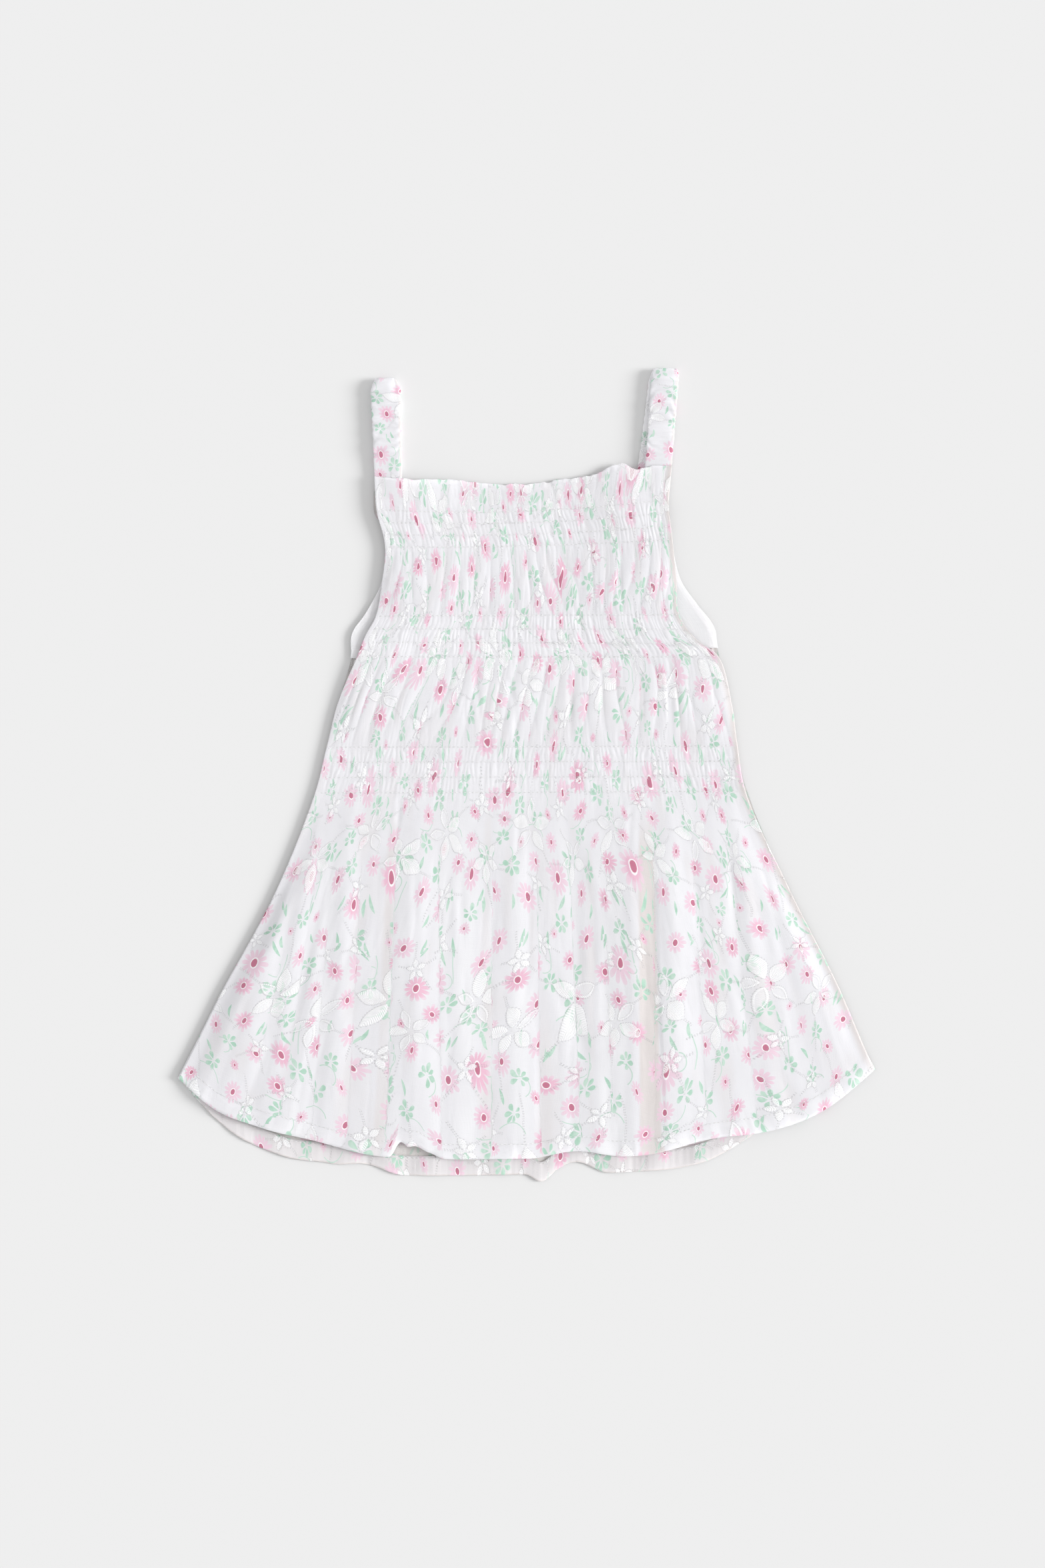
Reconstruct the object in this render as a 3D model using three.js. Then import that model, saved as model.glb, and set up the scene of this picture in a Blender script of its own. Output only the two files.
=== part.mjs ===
// Smocked summer dress for a toddler, lying flat with its front up, in millimetres.
// X runs across the dress, +Y towards the straps, and +Z up from the surface it lies on.
// The origin is at the middle of the whole outline, on that surface.
import * as THREE from 'three';

// Thickness of the cloth walls, and the gap between pieces that are sewn or lie together
const SEAM_GAP = 0.3;
const FRONT_WALL = 1.5;
const BACK_WALL = 1.6;
const FACING_WALL = 1;
const STRAP_WALL = 2;
const STRAP_END_WALL = 1.2;

// Heights that the layers above the back panel start from
const OVER_BACK = BACK_WALL + SEAM_GAP;
const FACING_LIFT = FACING_WALL + SEAM_GAP;
const STRAP_LIFT = 2 * (STRAP_END_WALL + SEAM_GAP);

// Columns of cloth across the panels, and the puckers that the elastic rows gather them into
const FRONT_COLUMNS = 96;
const INSIDE_COLUMNS = 32;
const BACK_COLUMNS = 8;
const HEM_COLUMNS = 80;
const BAND_PUCKERS = FRONT_COLUMNS / 2;
const STITCHED_ROWS = 4;
const PINCH = 0.25;
const PUFF_FOLDS = 14;
const PUFF_INSIDE = 0.4;

// How unevenly the puckers and puffs are spaced and raised across the cloth and down it
const PUCKER_DRIFT = 0.006;
const DRIFT_TURNS = 5;
const DRIFT_SLANT = 0.6;
const PUFF_WANDER = 0.16;
const UNEVENNESS = 0.4;
const UNEVEN_STEP = 0.27;
const UNEVEN_SLANT = 0.14;

// How far in from the side edges the front is held up by the straps' ends and the facings
const EDGE_FLAT = 22;
const EDGE_SLOPE = 14;
const SEAM_EASE = 14;
const CUT_SPREAD = 12;
const STEEPEST_FOLD = 0.24;

// Turned hems, and the facings sewn along the back's armholes
const HEM_STEP = 0.4;
const BACK_HEM_FOLD = 0.7;
const BACK_HEM_FOLDS = 18;
const FACING_WIDTH = 18;
const FACING_FROM = 2;
const FACING_TO = 6;
const FACING_ROWS = 12;

// The shoulder straps, each one length folded over at the top
const STRAP_FOOT = 163;
const STRAP_STEP = 2.2;
const STRAP_ACROSS = 4;
const STRAP_CROWN = 0.5;
const TURN_GAP = 0.5;
const TURN_STEPS = 6;
const TURN_NARROWING = 0.14;
const RUCHE_HEIGHT = 0.9;
const RUCHE_FROM = 188;
const RUCHE_FULL = 196;

// Lines across the front panel, from the folded top of its frill down to the hem.
// drop is how far a line hangs below its ends, round how squarely, rows the mesh rows to the next.
// cut is how far the right armhole is cut in from the side seam's line, pucker and puff are
// relief heights, fold the share of the skirt folds' height, and lift and edgeLift raise the
// middle and the side edges over what lies below.
const FRONT_LINES = table(
  ['name', 'leftX', 'leftY', 'rightX', 'rightY', 'cut', 'drop', 'round', 'rows', 'insideRows',
    'pucker', 'puff', 'fold', 'lift', 'edgeLift'],
  ['frill edge', -91, 178.6, 87.4, 185.4, 6, 6.6, 1.7, 3, 1, 1.5, 0, 0, 0.6, STRAP_LIFT],
  ['first band', -89.8, 159.4, 85.2, 165.6, 11, 4, 2, 6, 2, 1.3, 0, 0, 0, STRAP_LIFT],
  ['first band end', -84.6, 137, 87.7, 141.5, 14, 1.4, 2, 2, 1, 1.3, 0, 0, 0, FACING_LIFT],
  ['first puff', -86.6, 115.6, 90.1, 117.5, 16, 0, 2, 2, 1, 0.4, 2.6, 0, 0, FACING_LIFT],
  ['second band', -90.2, 95.6, 91.6, 96.6, 18, 0, 2, 3, 1, 1.3, 0, 0, 0, FACING_LIFT],
  ['armhole turn', -96.6, 83.6, 101, 82.6, 11, 0, 2, 3, 1, 1.3, 0, 0, 0, FACING_LIFT],
  ['second band end', -101.4, 71.4, 115.4, 71.2, 1, 0, 2, 2, 1, 1.3, 0, 0, 0, 2],
  ['second puff', -113, 43.6, 123, 44.6, 0, 0, 2, 2, 1, 0.4, 3, 0, 0, 0],
  ['third band', -119.8, 17, 126.8, 17.8, 0, 0, 2, 6, 2, 1.3, 0, 0, 0, 0],
  ['third band end', -126.8, -10.4, 131.6, -9.4, 0, 0, 2, 3, 2, 1.3, 0, 0, 0, 0],
  ['hip', -151, -71, 157, -66.2, 0, 6, 2.4, 3, 2, 0.3, 0, 1, 0.3, 0],
  ['skirt', -184.2, -132.2, 187.8, -127.4, 0, 22, 2.8, 2, 2, 0, 0, 1, 0.6, 0],
  ['hem stitching', -204.6, -172.2, 205, -167, 0, 51, 3.4, 2, 1, 0, 0, 0.9, 0.9, 0],
  ['hem', -208.8, -181, 209.2, -175.6, 0, 51, 3.4, 0, 0, 0, 0, 0.85, 1, 0],
);

// Lines across the back panel, whose inside faces up and whose outside rests on the surface
const BACK_LINES = table(
  ['name', 'leftX', 'leftY', 'rightX', 'rightY', 'cut', 'drop', 'round', 'rows', 'columns'],
  ['frill edge', -91.4, 170.6, 80, 171.4, 0, 0, 2, 2, BACK_COLUMNS],
  ['first row', -91, 157.4, 86, 157.6, 0, 0, 2, 2, BACK_COLUMNS],
  ['facing top', -84, 146, 89.2, 146, 0, 0, 2, 3, BACK_COLUMNS],
  ['first puff', -85.8, 118, 90.8, 118, 0, 0, 2, 2, BACK_COLUMNS],
  ['armhole', -95.6, 98, 101.6, 103.4, 0, 0, 2, 2, BACK_COLUMNS],
  ['armhole corner', -104.2, 85, 112.2, 89.4, 0, 0, 2, 2, BACK_COLUMNS],
  ['side seam', -105, 70.4, 114.6, 76.6, 0, 0, 2, 2, BACK_COLUMNS],
  ['second puff', -112.6, 43.6, 122.6, 44.6, 0, 0, 2, 2, BACK_COLUMNS],
  ['third band', -123, 2, 128.8, 3, 0, 0, 2, 3, BACK_COLUMNS],
  ['hip', -150, -71, 156, -66.2, 0, 6, 2.4, 3, BACK_COLUMNS],
  ['skirt', -183, -132.2, 186.4, -127.4, 0, 24, 3, 3, BACK_COLUMNS],
  ['hem stitching', -202.6, -177, 201.6, -170, 0, 57, 4.2, 2, HEM_COLUMNS],
  ['hem', -205.4, -185, 204, -178, 0, 57.4, 4.2, 0, HEM_COLUMNS],);

// Skirt folds from left to right: where the valley at the left of each one starts under the
// third band and where it meets the hem, with the fold's height above the valleys.
const SKIRT_FOLDS = table(
  ['topX', 'hemX', 'height'],
  [-129, -212, 3],
  [-124, -182, 3.6],
  [-118, -158, 4.2],
  [-112, -134, 5],
  [-96, -111, 4.6],
  [-76, -87, 5.8],
  [-53, -50, 5],
  [-20, -21, 5.6],
  [6, 10, 4.2],
  [24, 36, 4.8],
  [46, 54, 6.6],
  [76, 78, 6.2],
  [97, 113, 5],
  [117, 146, 4.4],
  [126, 172, 3.6],
  [130, 192, 2.8],
  [134, 213, 0],
);

// Places where an edge stands up from its smooth line: the middle and reach of each, and its rise
const FRILL_WAVES = table(
  ['x', 'reach', 'rise'],
  [-46, 30, 1.2],
  [-8, 34, -0.8],
  [32, 24, 0.8],
  [57, 19, 5.2],
  [76, 16, 1],
);
const FRONT_HEM_WAVES = table(
  ['x', 'reach', 'rise'],
  [-186, 26, -3],
  [-128, 40, 3],
  [-73, 11, 11],
  [-62, 13, 9],
  [30, 30, 4],
  [110, 40, 4.6],
  [176, 40, -3],
);
const BACK_HEM_WAVES = table(
  ['x', 'reach', 'rise'],
  [-176, 30, -2],
  [-118, 30, 3.2],
  [-95, 22, 5],
  [9, 10, -4.4],
  [30, 20, 7],
  [118, 34, 2],
  [158, 56, 15],
);

// Straps: the side, the middle of the front half at its top and at the frill, how far the
// half behind stands aside there, the height of the fold on the page, and the two widths.
const STRAPS = table(
  ['side', 'topX', 'footX', 'backShift', 'topY', 'topWidth', 'footWidth'],
  ['left', -84.4, -82.2, 0, 237.8, 18.6, 14.6],
  ['right', 83.6, 77.6, -5.6, 243.6, 17, 15],
);

// Lines along a strap from its sewn end to past its fold: its underside's height and its wall
const STRAP_LINES = table(
  ['y', 'lift', 'wall'],
  [STRAP_FOOT, OVER_BACK, STRAP_END_WALL],
  [173, OVER_BACK, STRAP_END_WALL],
  [186, 0, STRAP_WALL],
  [250, 0, STRAP_WALL],
);

// Cloth colours
const COLOURS = {
  front: 0xf4ecf0,
  back: 0xe9e3e4,
  strap: 0xf6eff2,
  facing: 0xf7f5f2,
};

/** Turns rows of values into objects whose keys are the column names. */
function table(columns, ...rows) {
  return rows.map((row) => Object.fromEntries(columns.map((name, i) => [name, row[i]])));
}

/** Reads a column of a table between its rows, at a fractional row number. */
function between(lines, column, t) {
  const i = Math.min(Math.floor(t), lines.length - 2);
  return THREE.MathUtils.lerp(lines[i][column], lines[i + 1][column], t - i);
}

/** Finds the row number at which a rising column of a table reaches a value. */
function rowAt(lines, column, value) {
  const next = lines.findIndex((line, i) => i > 0 && line[column] >= value);
  const i = next < 0 ? lines.length - 2 : next - 1;
  const span = lines[i + 1][column] - lines[i][column];
  return i + THREE.MathUtils.clamp((value - lines[i][column]) / span, 0, 1);
}

/** Row numbers through a table, each stretch cut into the number of steps its row gives. */
function rowNumbers(lines, column) {
  const numbers = [0];
  lines.slice(0, -1).forEach((line, i) => {
    for (let k = 1; k <= line[column]; k += 1) {
      numbers.push(i + k / line[column]);
    }
  });
  return numbers;
}

/** The smooth side edges of a panel, as two curves through the ends of its lines. */
function sideEdges(lines) {
  const curve = (x, y) => new THREE.CatmullRomCurve3(
    lines.map((line) => new THREE.Vector3(line[x], line[y], 0)),
    false,
    'centripetal',
  );
  return { left: curve('leftX', 'leftY'), right: curve('rightX', 'rightY') };
}

/** Total rise of an edge at x, from its table of waves. */
function waveRise(waves, x) {
  return waves.reduce((rise, wave) => {
    const away = Math.min(Math.abs(x - wave.x) / wave.reach, 1);
    return rise + wave.rise * Math.cos((away * Math.PI) / 2) ** 2;
  }, 0);
}

/** Share of a line's width where a column lies, with the armhole cut out of the outer ones. */
function besideCut(across, width, cut) {
  const fromSeam = (1 - across) * (width + cut);
  const fromEdge = (fromSeam * (fromSeam + CUT_SPREAD)) / (fromSeam + CUT_SPREAD + cut);
  const whole = ((width + cut) * (width + cut + CUT_SPREAD)) / (width + 2 * cut + CUT_SPREAD);
  return 1 - fromEdge / whole;
}

/** Place on a panel, seen from above, at a share of its cloth's width and a row number. */
function planPoint(panel, cloth, t) {
  const share = t / (panel.lines.length - 1);
  const left = panel.edges.left.getPoint(share);
  const right = panel.edges.right.getPoint(share);
  const across = besideCut(cloth, right.x - left.x, between(panel.lines, 'cut', t));
  const point = new THREE.Vector3().lerpVectors(left, right, across);
  const round = between(panel.lines, 'round', t);
  point.y -= between(panel.lines, 'drop', t) * (1 - Math.abs(2 * across - 1) ** round);
  const topShare = Math.max(1 - t, 0);
  const hemShare = THREE.MathUtils.clamp(t - (panel.lines.length - 3), 0, 1);
  point.y += topShare * waveRise(panel.topWaves, point.x);
  point.y += hemShare * waveRise(panel.hemWaves, point.x);
  return point;
}

const FRONT = {
  lines: FRONT_LINES,
  edges: sideEdges(FRONT_LINES),
  topWaves: FRILL_WAVES,
  hemWaves: FRONT_HEM_WAVES,
};
const BACK = {
  lines: BACK_LINES,
  edges: sideEdges(BACK_LINES),
  topWaves: [],
  hemWaves: BACK_HEM_WAVES,
};

// Elastic bands, by the names of the lines that they start and end at
const BANDS = [
  ['first band', 'first band end'],
  ['second band', 'second band end'],
  ['third band', 'third band end'],
].map((names) => names.map((name) => FRONT_LINES.findIndex((line) => line.name === name)));
const SKIRT_TOP = BANDS[2][1];
const HEM_STITCHING = FRONT_LINES.length - 2;

/** Share of the full pucker height that is left where the stitched rows pinch the cloth. */
function pinched(t) {
  const band = BANDS.find(([from, to]) => t >= from && t <= to);
  if (!band) {
    return 1;
  }
  const row = ((t - band[0]) / (band[1] - band[0])) * (STITCHED_ROWS - 1);
  return PINCH + (1 - PINCH) * Math.abs(Math.sin(row * Math.PI));
}

/** Height of the skirt folds above their valleys at a place on the front panel. */
function skirtFold(x, t) {
  const fall = Math.max((t - SKIRT_TOP) / (FRONT_LINES.length - 1 - SKIRT_TOP), 0);
  const valleys = SKIRT_FOLDS.map((fold) => THREE.MathUtils.lerp(fold.topX, fold.hemX, fall));
  const i = Math.max(valleys.findIndex((valley) => valley > x), 1) - 1;
  const width = valleys[i + 1] - valleys[i];
  const share = THREE.MathUtils.clamp((x - valleys[i]) / width, 0, 1);
  const height = Math.min(SKIRT_FOLDS[i].height, STEEPEST_FOLD * width);
  return height * Math.sin(share * Math.PI) * between(FRONT_LINES, 'fold', t);
}

/** Distance across a panel from a point to the nearer of its side edges. */
function fromSides(point, panel, t) {
  const share = t / (panel.lines.length - 1);
  const left = point.x - panel.edges.left.getPoint(share).x;
  const right = panel.edges.right.getPoint(share).x - point.x;
  return Math.min(left, right);
}

/** Point of the front panel's inside, which lies on the back, the facings and the straps. */
function frontInside(cloth, t) {
  const point = planPoint(FRONT, cloth, t);
  const inward = fromSides(point, FRONT, t);
  const ease = THREE.MathUtils.smoothstep(inward, 0, SEAM_EASE);
  const shoulder = 1 - THREE.MathUtils.smoothstep(inward, EDGE_FLAT, EDGE_FLAT + EDGE_SLOPE);
  const raised = between(FRONT_LINES, 'lift', t) + PUFF_INSIDE * between(FRONT_LINES, 'puff', t);
  point.z = OVER_BACK + ease * (raised + skirtFold(point.x, t));
  point.z += shoulder * between(FRONT_LINES, 'edgeLift', t);
  return point;
}

/** A run of even waves across the cloth: 0 in each valley and 1 on each crest. */
function waves(turns) {
  return 0.5 - 0.5 * Math.cos(turns * 2 * Math.PI);
}

/** Point of the front panel's outside, with its puckers, puffs and turned hem raised. */
function frontOutside(column, t) {
  const cloth = column / FRONT_COLUMNS;
  const inset = Math.sin(cloth * Math.PI);
  const drift = PUCKER_DRIFT * inset * Math.sin(cloth * DRIFT_TURNS * 2 * Math.PI + t * DRIFT_SLANT);
  const point = frontInside(cloth + drift, t);
  const uneven = 1 - UNEVENNESS * waves(column * UNEVEN_STEP + t * UNEVEN_SLANT);
  const wander = PUFF_WANDER * inset * Math.sin(cloth * DRIFT_TURNS * Math.PI + t);
  const pucker = waves(cloth * BAND_PUCKERS);
  const puffFold = waves(cloth * PUFF_FOLDS + wander);
  point.z += FRONT_WALL;
  point.z += between(FRONT_LINES, 'pucker', t) * uneven * pinched(t) * pucker;
  point.z += (1 - PUFF_INSIDE) * between(FRONT_LINES, 'puff', t) * uneven * puffFold;
  point.z += t > HEM_STITCHING ? HEM_STEP : 0;
  return point;
}

/** Point of the back panel's upper side, plain but for small folds along its hem. */
function backInside(cloth, t) {
  const point = planPoint(BACK, cloth, t);
  const nearHem = Math.max(t - (BACK_LINES.length - 2), 0);
  const fold = waves(cloth * BACK_HEM_FOLDS);
  point.z = BACK_WALL + nearHem * BACK_HEM_FOLD * fold * Math.sin(cloth * Math.PI);
  return point;
}

/** Length run through at each point of a line, as a share of the whole. */
function runShares(line) {
  const run = [0];
  for (let i = 1; i < line.length; i += 1) {
    run.push(run[i - 1] + line[i].distanceTo(line[i - 1]));
  }
  return run.map((length) => length / run[run.length - 1]);
}

/** Fills the strip between two lines of points with triangles that face away from the cloth. */
function stitch(corners, upper, lower) {
  const upperRun = runShares(upper);
  const lowerRun = runShares(lower);
  let i = 0;
  let j = 0;
  while (i < upper.length - 1 || j < lower.length - 1) {
    const upperNext = i < upper.length - 1 ? upperRun[i + 1] : Infinity;
    const lowerNext = j < lower.length - 1 ? lowerRun[j + 1] : Infinity;
    if (upperNext <= lowerNext) {
      corners.push(upper[i], lower[j], upper[i + 1]);
      i += 1;
    } else {
      corners.push(upper[i], lower[j], lower[j + 1]);
      j += 1;
    }
  }
}

/** Closed wall between an outer and an inner sheet, each a list of rows with the same corners. */
function shell(outer, inner) {
  const corners = [];
  const first = (row) => row[0];
  const last = (row) => row[row.length - 1];
  for (let k = 1; k < outer.length; k += 1) {
    stitch(corners, outer[k - 1], outer[k]);
  }
  for (let k = 1; k < inner.length; k += 1) {
    stitch(corners, inner[k], inner[k - 1]);
  }
  stitch(corners, first(inner), first(outer));
  stitch(corners, last(outer), last(inner));
  stitch(corners, outer.map(first), inner.map(first));
  stitch(corners, inner.map(last), outer.map(last));
  const geometry = new THREE.BufferGeometry();
  geometry.setFromPoints(corners);
  geometry.computeVertexNormals();
  return geometry;
}

/** A row of points, one for each step across. */
function rowOf(steps, place) {
  return Array.from({ length: steps + 1 }, (_, k) => place(k));
}

/** The front panel, cut in one piece from its frill to its hem. */
function frontPanel() {
  const outer = rowNumbers(FRONT_LINES, 'rows').map(
    (t) => rowOf(FRONT_COLUMNS, (k) => frontOutside(k, t)),
  );
  const inner = rowNumbers(FRONT_LINES, 'insideRows').map((t) => {
    const columns = t > SKIRT_TOP ? FRONT_COLUMNS : INSIDE_COLUMNS;
    return rowOf(columns, (k) => frontInside(k / columns, t));
  });
  return shell(outer, inner);
}

/** The back panel, whose underside is flat on the surface. */
function backPanel() {
  const numbers = rowNumbers(BACK_LINES, 'rows');
  const columnsAt = (t) => BACK_LINES[Math.floor(t)].columns;
  const upper = numbers.map((t) => rowOf(columnsAt(t), (k) => backInside(k / columnsAt(t), t)));
  const under = upper.map((row) => row.map((point) => new THREE.Vector3(point.x, point.y, 0)));
  return shell(upper, under);
}

/** An armhole facing, a strip that lies on the back panel along one armhole edge. */
function armholeFacing(side) {
  const edge = BACK.edges[side];
  const inward = side === 'left' ? 1 : -1;
  const sheet = (z) => rowOf(FACING_ROWS, (k) => {
    const t = THREE.MathUtils.lerp(FACING_FROM, FACING_TO, k / FACING_ROWS);
    const outside = edge.getPoint(t / (BACK_LINES.length - 1)).setZ(z);
    outside.x += inward * SEAM_GAP;
    const inside = outside.clone().setX(outside.x + inward * FACING_WIDTH);
    return side === 'left' ? [outside, inside] : [inside, outside];
  });
  return shell(sheet(OVER_BACK + FACING_WALL), sheet(OVER_BACK));
}

/** Points across a strap at one place along it, raised by a height for each share across. */
function strapRow(strap, steps, y, half, height) {
  const up = THREE.MathUtils.clamp((y - STRAP_FOOT) / (strap.topY - STRAP_FOOT), 0, 1);
  const shift = half === 'back' ? strap.backShift * (1 - 0.5 * up) : 0;
  const middle = THREE.MathUtils.lerp(strap.footX, strap.topX, up) + shift;
  const width = THREE.MathUtils.lerp(strap.footWidth, strap.topWidth, Math.sqrt(up));
  return rowOf(steps, (k) => {
    const across = (2 * k) / steps - 1;
    return new THREE.Vector3(middle + (across * width) / 2, y, height(across, k));
  });
}

/** A strap: its back half up from the back panel, the fold, and its ruched front half down. */
function shoulderStrap(strap) {
  const turnY = strap.topY - STRAP_WALL - TURN_GAP / 2;
  const steps = Math.round((turnY - STRAP_FOOT) / STRAP_STEP);
  const levels = rowOf(steps, (k) => {
    const y = THREE.MathUtils.lerp(STRAP_FOOT, turnY, k / steps);
    const t = rowAt(STRAP_LINES, 'y', y);
    return { y, lift: between(STRAP_LINES, 'lift', t), wall: between(STRAP_LINES, 'wall', t) };
  });
  const outer = [];
  const inner = [];
  levels.forEach(({ y, lift, wall }) => {
    outer.push(strapRow(strap, STRAP_ACROSS, y, 'back', () => lift));
    inner.push(strapRow(strap, 1, y, 'back', () => lift + wall));
  });
  const turnZ = STRAP_WALL + TURN_GAP / 2;
  for (let k = 1; k < TURN_STEPS; k += 1) {
    const angle = (k / TURN_STEPS - 0.5) * Math.PI;
    const ring = (radius, columns) => {
      const y = turnY + radius * Math.cos(angle);
      const z = turnZ + radius * Math.sin(angle);
      const shift = strap.backShift * 0.5 * (1 - k / TURN_STEPS);
      const row = strapRow(strap, columns, turnY, 'front', () => z);
      const narrower = TURN_NARROWING * Math.cos(angle) ** 2;
      return row.map((point) => point.setY(y).lerp(new THREE.Vector3(strap.topX, y, z), narrower)
        .setX(point.x + shift));
    };
    outer.push(ring(turnZ, STRAP_ACROSS));
    inner.push(ring(TURN_GAP / 2, 1));
  }
  levels.reverse().forEach(({ y, lift, wall }, i) => {
    const free = THREE.MathUtils.smoothstep(y, RUCHE_FROM, RUCHE_FULL);
    const under = lift + wall + THREE.MathUtils.lerp(SEAM_GAP, TURN_GAP, free);
    const ruche = i % 2 ? RUCHE_HEIGHT : 0;
    inner.push(strapRow(strap, 1, y, 'front', () => under));
    outer.push(strapRow(strap, STRAP_ACROSS, y, 'front', (across, k) => {
      const uneven = 1 - UNEVENNESS * waves((i + k) * UNEVEN_STEP);
      return under + wall + free * (ruche * uneven + STRAP_CROWN * (1 - across ** 2));
    }));
  });
  return shell(outer, inner);
}

/** A named piece of the dress in its own cloth. */
function piece(name, geometry, colour) {
  const cloth = new THREE.MeshStandardMaterial({ color: colour, roughness: 0.9, metalness: 0 });
  const mesh = new THREE.Mesh(geometry, cloth);
  mesh.name = name;
  return mesh;
}

const dress = new THREE.Group();
dress.add(piece('back_panel', backPanel(), COLOURS.back));
dress.add(piece('front_panel', frontPanel(), COLOURS.front));
['left', 'right'].forEach((side) => {
  dress.add(piece(`armhole_facing_${side}`, armholeFacing(side), COLOURS.facing));
});
STRAPS.forEach((strap) => {
  dress.add(piece(`strap_${strap.side}`, shoulderStrap(strap), COLOURS.strap));
});

export default dress;
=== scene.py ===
"""Smocked sundress for a toddler, lying flat with its front up, seen from straight above.

Sizes are in millimetres until a mesh is made. X runs across the dress, +Y towards the
straps and +Z up from the surface. Cloth places are (cloth, t): the share of the panel's
width from its left edge, and the row number down its table of lines.
"""

import logging
import math
from dataclasses import dataclass, field
from enum import Enum
from typing import Iterable, Sequence, Union

import bpy
import numpy as np
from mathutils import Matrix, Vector


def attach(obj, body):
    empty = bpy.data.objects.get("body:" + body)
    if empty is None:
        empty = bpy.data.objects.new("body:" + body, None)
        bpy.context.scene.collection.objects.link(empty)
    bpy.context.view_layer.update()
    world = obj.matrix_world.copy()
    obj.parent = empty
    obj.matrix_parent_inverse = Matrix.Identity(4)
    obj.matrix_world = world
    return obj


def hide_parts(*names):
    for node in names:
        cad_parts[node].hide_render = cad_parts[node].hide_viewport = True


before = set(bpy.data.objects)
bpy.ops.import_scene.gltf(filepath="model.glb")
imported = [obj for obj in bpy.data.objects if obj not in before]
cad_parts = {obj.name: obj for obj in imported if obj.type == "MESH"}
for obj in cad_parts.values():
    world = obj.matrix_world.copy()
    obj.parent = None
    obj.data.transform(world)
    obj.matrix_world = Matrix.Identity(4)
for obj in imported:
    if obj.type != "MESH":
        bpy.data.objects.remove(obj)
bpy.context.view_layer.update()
LOG = logging.getLogger("dress")

MM = 0.001

# Cloth walls and the gap between pieces that lie together, as in the solids
SEAM_GAP = 0.3
BACK_WALL = 1.6
FACING_WALL = 1.0
STRAP_FOOT_WALL = 0.8
OVER_BACK = BACK_WALL + SEAM_GAP
FACING_LIFT = FACING_WALL + SEAM_GAP
STRAP_LIFT = 2 * (STRAP_FOOT_WALL + SEAM_GAP)

# How far in the front is held up at its sides by the facings and the straps' ends, how far it
# then slopes down, and how far in from the seam its folds rise to their full height
EDGE_FLAT = 17.0
EDGE_SLOPE = 52.0
SEAM_EASE = 14.0
# How far in from a cut armhole the cloth is still drawn aside
CUT_SPREAD = 12.0
# The height of a skirt fold for its width, at most, and the rows of stitches in a band
STEEPEST_FOLD = 0.24
STITCHED_ROWS = 4

# A fold that leans: how fast it rises from one valley and falls to the next, and its highest
LEAN_RISE = 0.5
LEAN_FALL = 0.7
LEAN_PEAK = 0.443

Array = np.ndarray
Number = Union[float, int]
Plug = bpy.types.NodeSocket
Plugs = bpy.types.bpy_prop_collection
Socket = Union[Plug, Number, Sequence[Number]]
Colour = tuple[float, ...]
Span = tuple[float, float]


class Table:
    """Rows of values under named columns, read at whole or fractional row numbers."""

    def __init__(self, columns: str, *rows: Sequence) -> None:
        """Keep the rows by column.

        Args:
            columns: The column names, parted by spaces.
            rows: One sequence of values for each row.
        """
        self.names = columns.split()
        self.rows = rows

    def __len__(self) -> int:
        """Give the number of rows."""
        return len(self.rows)

    def column(self, name: str) -> Array:
        """Give one column as an array."""
        at = self.names.index(name)
        return np.array([row[at] for row in self.rows])

    def between(self, name: str, t: Array) -> Array:
        """Read a column at fractional row numbers."""
        return np.interp(t, np.arange(len(self.rows)), self.column(name).astype(float))

    def index(self, label: str) -> int:
        """Give the number of the row whose first value is this label."""
        return [row[0] for row in self.rows].index(label)

    def each(self) -> Iterable[dict]:
        """Give each row as a dictionary of its named values."""
        return (dict(zip(self.names, row)) for row in self.rows)


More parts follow.
